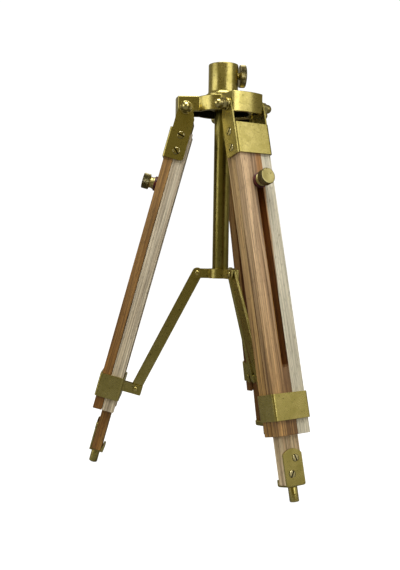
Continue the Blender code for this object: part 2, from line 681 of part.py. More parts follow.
def make_foot(side, frame):
    """A foot plate over the end of the extension, its two screws and the foot pin."""
    outer_face = BOARD_INNER - GAP
    half = EXTENSION_WIDTH / 2 - GAP
    arch = math.asin(half / FOOT_PLATE_ARCH)
    corner = half - FOOT_CORNER
    corner_down = FOOT_CORNER - FOOT_PLATE_END
    rim = (arc((-corner, corner_down), FOOT_CORNER, math.pi, 1.5 * math.pi, BEND_POINTS)
           + arc((corner, corner_down), FOOT_CORNER, 1.5 * math.pi, 2 * math.pi, BEND_POINTS)
           + arc((0, -FOOT_PLATE_TOP - FOOT_PLATE_ARCH), FOOT_PLATE_ARCH,
                 math.pi / 2 - arch, math.pi / 2 + arch, FOOT_ARCH_POINTS))
    holes = [circle((across, -down), FOOT_SCREW_SHANK + GAP) for down, across in FOOT_SCREWS]
    plate = as_mesh(outline("foot_plate_" + side, frame, [rim] + holes, PLATE,
                            (outer_face + GAP + PLATE / 2, 0, 0), FACING_OUT))
    front = outer_face + GAP + PLATE / 2
    lip = EXTENSION_INNER - GAP
    back = lip - FOOT_CURL
    floor = EXTENSION_END + GAP
    wrap_profile = [(front, -floor), (lip, -floor), (lip, -FOOT_LIP_TOP),
                    (back, -FOOT_LIP_TOP), (back, -FOOT_PLATE_END), (front, -FOOT_PLATE_END)]
    wrap = as_mesh(outline("add_foot_wrap_" + side, frame, [wrap_profile], 2 * corner,
                           rotation=UPRIGHT))
    boolean(plate, wrap, "UNION")
    shank_hole = rod("cut_foot_plate_" + side, frame, FOOT_PIN_SHANK + GAP,
                     (PIN_X, 0, -FOOT_PLATE_END - PLATE), (PIN_X, 0, -EXTENSION_END + PLATE))
    boolean(plate, shank_hole)
    finish(plate, "brass")

    top = -FOOT_PIN_SHANK_TOP
    shoulder = -FOOT_PLATE_END - GAP
    bottom = -FOOT_PIN_END
    pin_profile = [(0, top), (FOOT_PIN_SHANK, top), (FOOT_PIN_SHANK, shoulder),
                   (FOOT_PIN_RADIUS, shoulder), (FOOT_PIN_RADIUS, bottom + FOOT_PIN_CHAMFER),
                   (FOOT_PIN_RADIUS - FOOT_PIN_CHAMFER, bottom), (0, bottom)]
    pin = turned("foot_pin_" + side, frame, pin_profile, (PIN_X, 0, 0))
    smooth(pin)
    finish(pin, "brass")

    seat = outer_face + 2 * GAP + PLATE
    crown = seat + FOOT_SCREW_CROWN
    tip = outer_face + GAP - FOOT_SCREW_LENGTH
    for number, (down, across) in enumerate(FOOT_SCREWS, 1):
        profile = [(0, crown), (FOOT_SCREW_FLAT, crown - FOOT_SCREW_DISH),
                   (FOOT_SCREW_HEAD, seat + FOOT_SCREW_RIM), (FOOT_SCREW_HEAD, seat),
                   (FOOT_SCREW_SHANK, seat), (FOOT_SCREW_SHANK, tip), (0, tip)]
        screw = turned(f"foot_screw_{number}_{side}", frame, profile,
                       (0, across, -down), ALONG_X, steps=SMALL_STEPS)
        smooth(screw)
        finish(screw, "brass")


def make_lock(side, frame):
    """The thumbscrew that clamps the extension through the slot, and its fibre washer."""
    washer_seat = BOARD_OUTER + GAP
    washer_top = washer_seat + WASHER_THICKNESS
    bore = LOCK_STEM + GAP
    washer_profile = [(bore, washer_top), (WASHER_RADIUS, washer_top),
                      (WASHER_RADIUS, washer_seat), (bore, washer_seat)]
    washer = turned("fibre_washer_" + side, frame, washer_profile,
                    (0, 0, -LOCK_DOWN), ALONG_X, ring=True, steps=KNOB_STEPS)
    smooth(washer)
    finish(washer, "red_fibre")

    edge = KNOB_EDGE
    seat = washer_top + GAP
    tip = EXTENSION_INNER + GAP
    profile = [(0, LOCK_KNOB_OUTER), (LOCK_KNOB_RADIUS - edge, LOCK_KNOB_OUTER),
               (LOCK_KNOB_RADIUS, LOCK_KNOB_OUTER - edge),
               (LOCK_KNOB_RADIUS, LOCK_KNOB_INNER + edge),
               (LOCK_KNOB_RADIUS - edge, LOCK_KNOB_INNER),
               (LOCK_WAIST_RADIUS, LOCK_WAIST), (LOCK_FLANGE_RADIUS, seat + LOCK_FLANGE),
               (LOCK_FLANGE_RADIUS, seat), (LOCK_STEM, seat), (LOCK_STEM, tip), (0, tip)]
    screw = turned("leg_thumbscrew_" + side, frame, profile, (0, 0, -LOCK_DOWN), ALONG_X,
                   steps=KNOB_STEPS)
    smooth(screw)
    finish(screw, "bright_brass")


# ---------------------------------------------------------------- assembly

clear_scene()
parts = new_collection(OBJECT_NAME)
cutters = new_collection(OBJECT_NAME + "_cutters")

# The foot pin's edge reaches furthest along -X, the collars' bends furthest along +X.
foot_reach = (HINGE_RADIUS + FOOT_PIN_END * math.sin(LEG_TILT)
              + (PIN_X + FOOT_PIN_RADIUS) * math.cos(LEG_TILT))
bend_centre = (HINGE_RADIUS + COLLAR_END * math.sin(LEG_TILT)
               + (PLATE_OUTER - BEND_RADIUS) * math.cos(LEG_TILT))
bend_reach = BEND_RADIUS * math.hypot(math.cos(LEG_TILT) * math.cos(math.pi / 3),
                                      math.sin(math.pi / 3))
collar_reach = (bend_centre * math.cos(math.pi / 3)
                + (BRACKET_HALF - BEND_RADIUS) * math.sin(math.pi / 3) + bend_reach)
column_frame = new_empty("column_frame", None, ((foot_reach - collar_reach) / 2, 0, 0))
clamp_frame = new_empty("clamp_frame", column_frame, (0, 0, CLAMP_HEIGHT), (0, 0, CLAMP_AZIMUTH))
hub_frame = new_empty("hub_frame", column_frame, (0, 0, HUB_BOTTOM + HUB_HEIGHT / 2))
side_frames = {}
leg_frames = {}
for side_name, side_azimuth in LEG_AZIMUTHS.items():
    side_frames[side_name] = new_empty("side_frame_" + side_name, column_frame,
                                       (0, 0, 0), (0, 0, side_azimuth))
    leg_frames[side_name] = new_empty("leg_frame_" + side_name, side_frames[side_name],
                                      (HINGE_RADIUS, 0, HINGE_HEIGHT), (0, -LEG_TILT, 0))
bpy.context.view_layer.update()

make_head()
make_socket()
make_socket_thumbscrew()
make_column()
make_hub()
for side_name in LEG_AZIMUTHS:
    leg_frame = leg_frames[side_name]
    make_hinge_bolt(side_name)
    make_bracket(side_name, leg_frame)
    make_timber(side_name, leg_frame)
    make_collar(side_name, leg_frame)
    make_extension(side_name, leg_frame)
    make_foot(side_name, leg_frame)
    make_lock(side_name, leg_frame)
    make_arm(side_name)
bpy.context.view_layer.update()
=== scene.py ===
import json
import math

import bmesh
import bpy
from mathutils import Matrix, Vector


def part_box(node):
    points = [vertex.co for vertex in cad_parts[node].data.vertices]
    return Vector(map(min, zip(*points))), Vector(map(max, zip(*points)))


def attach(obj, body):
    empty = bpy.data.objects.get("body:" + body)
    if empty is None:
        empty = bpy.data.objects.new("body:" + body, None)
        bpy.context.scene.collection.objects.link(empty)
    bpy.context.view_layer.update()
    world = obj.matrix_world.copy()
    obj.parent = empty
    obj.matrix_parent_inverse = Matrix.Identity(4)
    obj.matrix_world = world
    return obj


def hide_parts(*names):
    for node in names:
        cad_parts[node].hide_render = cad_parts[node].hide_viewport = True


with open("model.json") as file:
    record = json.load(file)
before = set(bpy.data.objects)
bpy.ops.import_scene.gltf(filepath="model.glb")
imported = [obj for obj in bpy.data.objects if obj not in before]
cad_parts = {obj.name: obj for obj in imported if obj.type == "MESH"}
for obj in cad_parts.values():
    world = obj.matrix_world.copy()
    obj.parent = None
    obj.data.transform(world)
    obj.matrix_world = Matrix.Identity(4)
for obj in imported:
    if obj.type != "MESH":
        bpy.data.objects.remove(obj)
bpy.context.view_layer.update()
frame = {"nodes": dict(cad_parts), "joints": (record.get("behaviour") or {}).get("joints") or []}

# Looks for the tabletop tripod. Metres, +Z up, in the frame's own coordinates.
#
# Each leg has its own frame, taken from its joints: +X is the leg's outer side, +Y runs along
# the hinge and -Z runs down the leg, with the origin on the hinge axis. A leg's pieces are
# modelled in that frame, so the wood's grain runs along their local Z.

SIDES = ("left", "front", "rear")

# Camera: where it stands round the column, and how it is turned
CAMERA_DISTANCE = 0.711
CAMERA_AZIMUTH = math.radians(2.4)
CAMERA_HEIGHT = 0.224
CAMERA_PITCH = math.radians(3.39)
CAMERA_YAW = math.radians(1.62)
CAMERA_ROLL = math.radians(0.85)
CAMERA_LENS = 44.6

# The room's dim light, on the camera's side and behind the tripod
ROOM_NEAR = (0.175, 0.140, 0.028)
ROOM_FAR = (0.30, 0.28, 0.22)
BACKDROP_BRIGHTNESS = 1.05

# Soft boxes: name, azimuth (from the front towards the right) and elevation in degrees,
# distance, size and power
SOFT_BOXES = (
    ("right_low_box", 62, 3, 1.0, (0.80, 0.30), 0.36),
    ("right_high_box", 52, 31, 1.1, (0.62, 0.60), 2.3),
    ("edge_box", 30, 13, 1.0, (0.20, 0.50), 1.1),
    ("left_box", -72, 15, 1.0, (0.70, 0.60), 2.8),
    ("top_box", 5, 72, 0.85, (0.6, 0.5), 9.0),
)
LIGHTS_AIM = (0, 0, 0.2)

# Floor, a thin disc just under the feet
FLOOR_RADIUS = 3.0
FLOOR_TOP = -0.0002
FLOOR_UNDERSIDE = -0.004

# Clearances, sheet metal, and how far a cutting shape stands clear of what it cuts
GAP = 0.0003
SHEET = 0.0015
BEND = 0.0027
EDGE = 0.00035
CLEAR = 0.01

# Leg timber
SLOT_WIDTH = 0.0075
SLOT_TOP = 0.0720
SLOT_END = 0.2500
TIMBER_EDGE = 0.0005

# Leg bracket
STRAP_TOP_RADIUS = 0.0068
STRAP_OUTER = 0.0076
STRAP_SHOULDER = 0.0090
BRACKET_PLATE_TOP = 0.0210
BRACKET_CORNER = 0.0035
BRACKET_SCREWS = (0.0266, 0.0424)
BRACKET_SCREW_X = -0.0022
SCREW_HEAD = 0.0035
SCREW_CROWN = 0.0011
SCREW_SLOT = 0.0013
SCREW_UNDERSIDE = -0.0004
SINK_RADIUS = 0.0040
SINK_DEPTH = 0.0006
BRACKET_SCREW_TURNS = (0.7, 1.3, 2.95, 2.35, 0.55, 0.62, 1.0, 2.4, 0.5, 1.8, 2.7, 1.2)

# Collar with its clevis
CLEVIS_EAR = 0.0020
CLEVIS_SLOT_HALF = 0.0018
CLEVIS_PIN_X = -0.0273
CLEVIS_PIN_DOWN = 0.2815
CLEVIS_TOP = 0.2770
CLEVIS_END = 0.2868
CLEVIS_CORNER = 0.0016

# Foot
FOOT_PLATE_ARCH = 0.0136
FOOT_LIP_TOP = 0.3452
FOOT_CURL = 0.0024
FOOT_CORNER = 0.0022
FOOT_BEND = 0.0012
FOOT_PIN_SHANK = 0.0020
FOOT_SCREW_HEAD = 0.0032
FOOT_SINK_MARGIN = 0.0004
FOOT_SCREW_TURNS = (1.4, 0.9, 0.35, 2.58, 2.5, 0.4)

# Knurled rims: the depth of the teeth, and how far inside the rim's radius they start
KNURL = 0.0004
KNURLED_RIM = 0.0003

# Leg thumbscrew
KNOB_LENGTH = 0.0069
KNOB_DISH = 0.0002
KNOB_WAIST = 0.0055
KNOB_FILLET = 0.0012
KNOB_FLANGE = 0.0061
KNOB_FLANGE_THICKNESS = 0.0009
KNOB_FLANGE_SLOPE = 0.0007
LOCK_STEM = 0.0025

# Head casting
HEAD_WALL = 0.0026
HEAD_TOP_PLATE = 0.0035
LOBE_HALF_WIDTH = 0.0169
LOBE_END_RADIUS = 0.0470
DRUM_RADIUS = 0.0290
DRUM_SKIRT = 0.0145
SHORT_SKIRT_RADIUS = 0.0340
LOBE_AZIMUTHS = (-math.pi / 3, math.pi / 3, math.pi)
HEAD_EDGE = 0.0007
HOLLOW_EDGE = 0.0012
LINING_GAP = 0.0001

# Hinge bolts
BOLT_RADIUS = 0.0024
BOLT_WASHER_RADIUS = 0.0062
BOLT_WASHER = 0.0012
NUT_ACROSS_FLATS = 0.0096
NUT_HEIGHT = 0.0046
NUT_DOME_RADIUS = 0.0043
NUT_CHAMFER = 0.0010

# Socket
SOCKET_RADIUS = 0.0147
SOCKET_WALL = 0.0020
SOCKET_FLOOR = 0.3752
SOCKET_BASE_TOP = 0.3708
SOCKET_FLARE_TOP = 0.3745
CLAMP_DISC = 0.0058
CLAMP_NECK = 0.0030
CLAMP_NECK_FILLET = 0.0010
CLAMP_STEM_RADIUS = 0.0020

# Column
COLUMN_WALL = 0.0015

# Hub and arms
HUB_RING_RADIUS = 0.0130
HUB_EAR_ROOT = 0.0090
HUB_EAR_REACH = 0.0270
HUB_EAR_HALF = 0.0043
HUB_EAR_CORNER = 0.0012
HUB_EDGE = 0.0004
HUB_SLOT_BASE = 0.0145
ARM_WIDTH = 0.0108
ARM_SLOT_WIDTH = 0.0046
ARM_SLOT_LENGTH = 0.0076
ARM_EDGE = 0.0005
PIVOT_PIN_RADIUS = 0.0014
PIVOT_HEAD_RADIUS = 0.0026
PIVOT_HEAD = 0.0010

# Roundness
TURN_STEPS = 96
SMALL_STEPS = 40
ARC_POINTS = 16
SHARP_ANGLE = math.radians(40)
MERGE_DISTANCE = 0.000001

# Colours: wood, the tints laid over it, and the dirt and painted shade laid on brass
TAN = (0.68, 0.47, 0.27)
PINK_BROWN = (0.19, 0.100, 0.042)
ORANGE_BROWN = (0.40, 0.220, 0.070)
DEEP_ORANGE = (0.26, 0.130, 0.033)
DARK_BROWN = (0.13, 0.062, 0.018)
MID_BROWN = (0.11, 0.055, 0.020)
CREAM = (0.74, 0.66, 0.51)
GREY_BEIGE = (0.55, 0.46, 0.33)
GREY_BROWN = (0.33, 0.26, 0.19)
STRAW = (0.92, 0.76, 0.52)
SAPWOOD = (0.62, 0.57, 0.44)
RUST = (0.36, 0.16, 0.035)
FOOT_TINT = (0.76, 0.62, 0.36)
NO_TINT = (1.0, 0.97, 0.92)
# The tint that darkens wood in a leg's slot and inside the leg: painted shade, with some grime
SHADE_AND_GRIME_TINT = (0.68, 0.44, 0.16)
# The dark colour laid on brass: dirt, and painted shade in slots and creases
DIRT_AND_SHADE = (0.030, 0.022, 0.010)
WHITE = (1, 1, 1, 1)

# How far off a wooden face still counts as that face
FACE_MARGIN = 0.0001

# The height in a leg's frame above which its extension is hidden inside the leg and painted darker:
# painted shade, with some grime
SHADED_ABOVE = -0.30


# ---------------------------------------------------------------- the frame's places

JOINTS = {joint["name"]: joint for joint in frame["joints"]}
UP = Vector((0, 0, 1))


def frame_at(place, x_axis, y_axis, z_axis):
    """The matrix of a frame at this place with these three axes."""
    turn = Matrix((x_axis, y_axis, z_axis)).transposed().to_4x4()
    return Matrix.Translation(place) @ turn


def leg_matrix(side):
    """The leg's own frame, from its hinge and its extension's slide."""
    hinge = JOINTS["leg_fold_" + side]
    along = Vector(hinge["axis"])
    up = -Vector(JOINTS["extension_slide_" + side]["axis"])
    return frame_at(hinge["pos_m"], along.cross(up), along, up)


def side_matrix(side, place=(0, 0, 0)):
    """The side's upright frame at this place: +X outwards, +Y along the hinge."""
    along = Vector(JOINTS["leg_fold_" + side]["axis"])
    return frame_at(place, along.cross(UP), along, UP)


def span(node, matrix):
    """The lowest and highest corner of a CAD node in a frame of its own."""
    to_local = matrix.inverted()
    points = [to_local @ vertex.co for vertex in frame["nodes"][node].data.vertices]
    low = Vector([min(point[axis] for point in points) for axis in range(3)])
    high = Vector([max(point[axis] for point in points) for axis in range(3)])
    return low, high


def clamp_matrix():
    """The socket clamp's frame: +X points out along its screw."""
    joint = JOINTS["socket_clamp_turn"]
    along = Vector(joint["axis"])
    return frame_at(joint["pos_m"], along, UP.cross(along), UP)


def half_height(node, matrix):
    """Half of a node's size along Z in this frame: a turned node's radius."""
    low, high = span(node, matrix)
    return (high.z - low.z) / 2


def column_centre():
    """The column's axis on the floor."""
    low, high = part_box("centre_column")
    return Vector(((low[0] + high[0]) / 2, (low[1] + high[1]) / 2, 0))


# ---------------------------------------------------------------- mesh tools

def new_object(name, data):
    item = bpy.data.objects.new(name, data)
    bpy.context.scene.collection.objects.link(item)
    return item


def mesh_from(name, vertices, faces):
    """A mesh without doubled vertices, its faces turned outwards."""
    mesh = bpy.data.meshes.new(name)
    mesh.from_pydata(vertices, [], faces)
    shape = bmesh.new()
    shape.from_mesh(mesh)
    bmesh.ops.remove_doubles(shape, verts=shape.verts, dist=MERGE_DISTANCE)
    bmesh.ops.recalc_face_normals(shape, faces=shape.faces)
    shape.to_mesh(mesh)
    shape.free()
    return mesh


def arc(centre, radius, start, end, points=ARC_POINTS):
    """Points on an arc between two angles in radians, ends included."""
    angles = [start + (end - start) * i / (points - 1) for i in range(points)]
    return [(centre[0] + radius * math.cos(a), centre[1] + radius * math.sin(a)) for a in angles]


def circle(centre, radius, points=SMALL_STEPS):
    return arc(centre, radius, 0, 2 * math.pi * (1 - 1 / points), points)


def rounded_bar(length, radius):
    """The outline of a bar with round ends: its pivots are at the origin and at (0, -length)."""
    return (arc((0, 0), radius, 0, math.pi)
            + arc((0, -length), radius, math.pi, 2 * math.pi))


def rounded_loop(corners, radius, points=6):
    """A closed outline of (x, y) corners, each rounded by a curve of about this radius."""
    loop = []
    count = len(corners)
    for i, corner in enumerate(corners):
        here = Vector(corner)
        before = Vector(corners[i - 1]) - here
        after = Vector(corners[(i + 1) % count]) - here
        room = min(before.length, after.length) / 2
        before.normalize()
        after.normalize()
        half = math.acos(max(-1.0, min(1.0, before.dot(after)))) / 2
        setback = min(radius / math.tan(half), room)
        start = here + before * setback
        end = here + after * setback
        for step in range(points):
            t = step / (points - 1)
            blend = start * (1 - t) ** 2 + here * 2 * t * (1 - t) + end * t ** 2
            loop.append((blend.x, blend.y))
    return loop


def rounded_rectangle(left, low, right, high, radius, points=6):
    corners = [(left, low), (right, low), (right, high), (left, high)]
    return rounded_loop(corners, radius, points)


def turned_about(azimuth, points):
    """These (x, y) points turned about the origin."""
    cosine, sine = math.cos(azimuth), math.sin(azimuth)
    return [(cosine * x - sine * y, sine * x + cosine * y) for x, y in points]


def prism(name, loop, low, high):
    """A solid with this outline of (x, y) points between two heights."""
    count = len(loop)
    vertices = [(x, y, low) for x, y in loop] + [(x, y, high) for x, y in loop]
    faces = [tuple(reversed(range(count))), tuple(range(count, 2 * count))]
    for i in range(count):
        after = (i + 1) % count
        faces.append((i, after, count + after, count + i))
    return mesh_from(name, vertices, faces)


def block(name, low, high):
    """A box between two corners."""
    (left, near, bottom), (right, far, top) = low, high
    return prism(name, [(left, near), (right, near), (right, far), (left, far)], bottom, top)


def lathe(name, profile, steps=TURN_STEPS, ring=False, teeth=None):
    """Turn (radius, height) points about Z. teeth = (rim radius, depth) knurls that rim."""
    vertices = []
    rings = []
    for radius, height in profile:
        start = len(vertices)
        if radius == 0:
            vertices.append((0, 0, height))
            rings.append([start] * steps)
            continue
        for step in range(steps):
            angle = 2 * math.pi * step / steps
            reach = radius
            if teeth and radius >= teeth[0] and step % 2:
                reach = radius - teeth[1]
            vertices.append((reach * math.cos(angle), reach * math.sin(angle), height))
        rings.append(list(range(start, start + steps)))
    if ring:
        rings.append(rings[0])
    faces = []
    for upper, lower in zip(rings, rings[1:]):
        for step in range(steps):
            after = (step + 1) % steps
            corners = [upper[step], upper[after], lower[after], lower[step]]
            face = [c for i, c in enumerate(corners) if c != corners[i - 1]]
            if len(face) > 2:
                faces.append(tuple(face))
    return mesh_from(name, vertices, faces)


def evaluated(mesh, add_modifiers):
    """A new mesh: this one with the modifiers that add_modifiers puts on its object."""
    carrier = new_object("carrier", mesh)
    add_modifiers(carrier)
    bpy.context.view_layer.update()
    graph = bpy.context.evaluated_depsgraph_get()
    result = bpy.data.meshes.new_from_object(carrier.evaluated_get(graph))
    result.name = mesh.name
    bpy.data.objects.remove(carrier, do_unlink=True)
    return result


def combined(mesh, tool_mesh, operation="DIFFERENCE"):
    """A new mesh: this one with the other cut out of it, joined to it or kept in common."""
    tool = new_object("tool", tool_mesh)

    def add_modifiers(carrier):
        step = carrier.modifiers.new("combine", "BOOLEAN")
        step.operation = operation
        step.solver = "EXACT"
        step.object = tool

    result = evaluated(mesh, add_modifiers)
    bpy.data.objects.remove(tool, do_unlink=True)
    return result


def rounded(mesh, width=EDGE, segments=2, angle=math.radians(30)):
    """Round the edges that are sharper than this angle."""
    def add_modifiers(carrier):
        step = carrier.modifiers.new("round", "BEVEL")
        step.width = width
        step.segments = segments
        step.limit_method = "ANGLE"
        step.angle_limit = angle

    return evaluated(mesh, add_modifiers)


def moved(mesh, matrix):
    """A copy of the mesh, moved by the matrix."""
    mesh = mesh.copy()
    mesh.transform(matrix)
    return mesh


def place(name, mesh, matrix, body, material, slot, nodes=(), flat=True):
    """Put a mesh in the scene as a piece that rides on a body and replaces these CAD nodes."""
    mesh = mesh.copy()
    mesh.name = name
    mesh.materials.clear()
    mesh.materials.append(material)
    mesh.shade_smooth()
    mesh.set_sharp_from_angle(angle=SHARP_ANGLE)
    piece = new_object(name, mesh)
    piece.matrix_world = matrix
    if flat:
        step = piece.modifiers.new("normals", "WEIGHTED_NORMAL")
        step.keep_sharp = True
    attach(piece, body)
    if nodes:
        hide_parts(*nodes)
    return piece


# Turned and drawn shapes are made about Z. The first three turns lay them along +X, +Y or -Y.
# The last two stand a drawing of (x, y) up in the XZ plane or in the YZ plane.
ALONG_X = Matrix.Rotation(math.pi / 2, 4, "Y")
ALONG_Y = Matrix.Rotation(-math.pi / 2, 4, "X")
AGAINST_Y = Matrix.Rotation(math.pi / 2, 4, "X")
UPRIGHT = AGAINST_Y
FACING_OUT = Matrix.Rotation(math.pi / 2, 4, "Z") @ UPRIGHT


# ---------------------------------------------------------------- materials

class Nodes:
    """A node tree, with short calls for the nodes that the looks share."""

    def __init__(self, tree):
        self.tree = tree

    def put(self, node, inputs):
        """Each input, by its name or number, takes another node's output or a plain value."""
        for name, value in inputs.items():
            if isinstance(value, bpy.types.NodeSocket):
                self.tree.links.new(value, node.inputs[name])
            else:
                node.inputs[name].default_value = value

    def node(self, kind, inputs=None, **settings):
        node = self.tree.nodes.new(kind)
        for key, value in settings.items():
            setattr(node, key, value)
        self.put(node, inputs or {})
        return node

    def noise(self, vector, scale, detail=3.0, roughness=0.55, distortion=0.0):
        node = self.node("ShaderNodeTexNoise", {
            "Vector": vector, "Scale": scale, "Detail": detail, "Roughness": roughness,
            "Distortion": distortion})
        return node.outputs["Fac"]

    def levels(self, value, low, high, out_low=0.0, out_high=1.0, smooth=False):
        """value between low and high becomes a number between out_low and out_high."""
        node = self.node("ShaderNodeMapRange", clamp=True,
                         interpolation_type="SMOOTHSTEP" if smooth else "LINEAR")
        self.put(node, {"Value": value, "From Min": low, "From Max": high, "To Min": out_low,
                        "To Max": out_high})
        return node.outputs["Result"]

    def maths(self, operation, a, b=0.0):
        node = self.node("ShaderNodeMath", {0: a, 1: b}, operation=operation)
        return node.outputs[0]

    def both(self, a, b):
        return self.maths("MULTIPLY", a, b)

    def mixed(self, factor, a, b, blend="MIX"):
        """Colours a and b, each another node's output or three numbers, mixed by factor."""
        node = self.node("ShaderNodeMix", data_type="RGBA", blend_type=blend)
        self.put(node, {"Factor": factor, "A": (*a, 1.0) if isinstance(a, tuple) else a,
                        "B": (*b, 1.0) if isinstance(b, tuple) else b})
        return node.outputs["Result"]

    def tinted(self, colour, tint):
        return self.mixed(1.0, colour, tint, blend="MULTIPLY")


class Look(Nodes):
    """A material, with the calls that need its shader or the piece's own coordinates."""

    def __init__(self, name):
        self.material = bpy.data.materials.new(name)
        self.material.use_nodes = True
        super().__init__(self.material.node_tree)
        self.shader = self.tree.nodes["Principled BSDF"]
        self.coords = self.node("ShaderNodeTexCoord").outputs["Object"]

    def stretched(self, scale, shift=(0, 0, 0)):
        node = self.node("ShaderNodeMapping",
                         {"Vector": self.coords, "Scale": scale, "Location": shift})
        return node.outputs["Vector"]

    def axis(self, name):
        return self.node("ShaderNodeSeparateXYZ", {"Vector": self.coords}).outputs[name]

    def away(self, first, second):
        """How far a place is from the third axis, from its distances along these two."""
        squares = self.maths("ADD", self.maths("POWER", self.axis(first), 2),
                             self.maths("POWER", self.axis(second), 2))
        return self.maths("SQRT", squares)

    def bump(self, height, strength, distance, before=None):
        node = self.node("ShaderNodeBump",
                         {"Strength": strength, "Distance": distance, "Height": height})
        if before is not None:
            self.put(node, {"Normal": before})
        return node.outputs["Normal"]

    def finish(self, colour, roughness, normal, metallic=0.0):
        self.put(self.shader, {"Base Color": colour, "Roughness": roughness, "Normal": normal,
                               "Metallic": metallic})
        return self.material


def brass(name, bright, dull, rough_low, rough_high, grain=(1, 1, 1), speckling=0.55,
          unevenness=0.00003, lacquer=0.25, dirt_and_shade=None):
    """Lacquered brass: fine speckle, cloudy tarnish, and a slight grain along some axis.

    The function given last says how dark each place is painted, from the look's coordinates:
    dirt, and painted shade in slots and creases.
    """
    look = Look(name)
    speckle = look.noise(look.stretched(grain), 1700, detail=2.0, roughness=0.7)
    cloud = look.noise(look.coords, 130, detail=4.0)
    pits = look.noise(look.coords, 520, detail=1.0)
    colour = look.mixed(look.levels(cloud, 0.35, 0.70), bright, dull)
    colour = look.mixed(look.levels(speckle, 0.35, 0.75, 0.0, speckling), colour, dull)
    dark = tuple(0.35 * channel for channel in dull)
    colour = look.mixed(look.levels(pits, 0.66, 0.72, 0.0, 0.8), colour, dark)
    # Dirt, and painted shade in slots and creases, darken the colour here
    if dirt_and_shade is not None:
        colour = look.mixed(dirt_and_shade(look), colour, DIRT_AND_SHADE)
    roughness = look.levels(look.maths("ADD", cloud, speckle), 0.7, 1.3, rough_low, rough_high)
    normal = look.bump(speckle, 0.25, unevenness)
    look.put(look.shader, {"Coat Weight": lacquer, "Coat Roughness": 0.12})
    return look.finish(colour, roughness, normal, metallic=1.0)


def slot_shade(look):
    """Painted shade in a screw's slot, which runs along X, and round the rim of its head."""
    across = look.maths("ABSOLUTE", look.axis("Y"))
    in_slot = look.levels(across, 0.45 * SCREW_SLOT, 0.55 * SCREW_SLOT, 1.0, 0.0)
    low = look.levels(look.axis("Z"), 0.1 * SCREW_CROWN, 0.5 * SCREW_CROWN, 1.0, 0.0)
    return look.maths("MAXIMUM", in_slot, low)


def seat_shade(look):
    """Painted shade in a ring round the foot of a nut's dome, about the Y axis."""
    away = look.away("X", "Z")
    from_dome = look.levels(away, NUT_DOME_RADIUS - 0.0003, NUT_DOME_RADIUS, 0.0, 0.45)
    to_rim = look.levels(away, BOLT_WASHER_RADIUS - 0.0013, BOLT_WASHER_RADIUS - 0.0008, 1.0, 0.0)
    return look.both(to_rim, from_dome)


def rim_dirt_and_shade(radius):
    """Dirt and painted shade on a knurled rim of this radius about the X axis, most of it between
    the teeth.
    """
    def dirt_and_shade(look):
        away = look.away("Y", "Z")
        on_rim = look.maths("GREATER_THAN", away, radius - 1.5 * KNURL)
        depth = look.levels(away, radius - 1.1 * KNURL, radius, 0.94, 0.66)
        return look.both(depth, on_rim)

    return dirt_and_shade


def sapwood_strip(look, colour, y, z, figure, bands, sapwood):
    """A pale strip beyond a slanting line, with rust-coloured wood beside it near the top.

    sapwood = (colour, the line's Y at the top, its lean, the rusty colour).
    """
    pale, edge_at, lean, rusty = sapwood
    across = look.maths("ADD", y, look.levels(figure, 0.3, 0.7, -0.0012, 0.0012))
    across = look.maths("SUBTRACT", across, look.both(z, lean))
    beside = look.levels(across, edge_at - 0.008, edge_at - 0.004)
    near_top = look.levels(z, -0.17, -0.09, 0.0, 0.8)
    colour = look.mixed(look.both(beside, near_top), colour, rusty)
    grey = tuple(0.55 * channel for channel in pale)
    strip = look.mixed(look.levels(bands, 0.48, 0.66, 0.0, 0.6), pale, grey)
    beyond = look.levels(across, edge_at, edge_at + 0.0008, smooth=True)
    past_slot = look.maths("GREATER_THAN", y, SLOT_WIDTH / 2 + FACE_MARGIN)
    return look.mixed(look.both(beyond, past_slot), colour, strip)


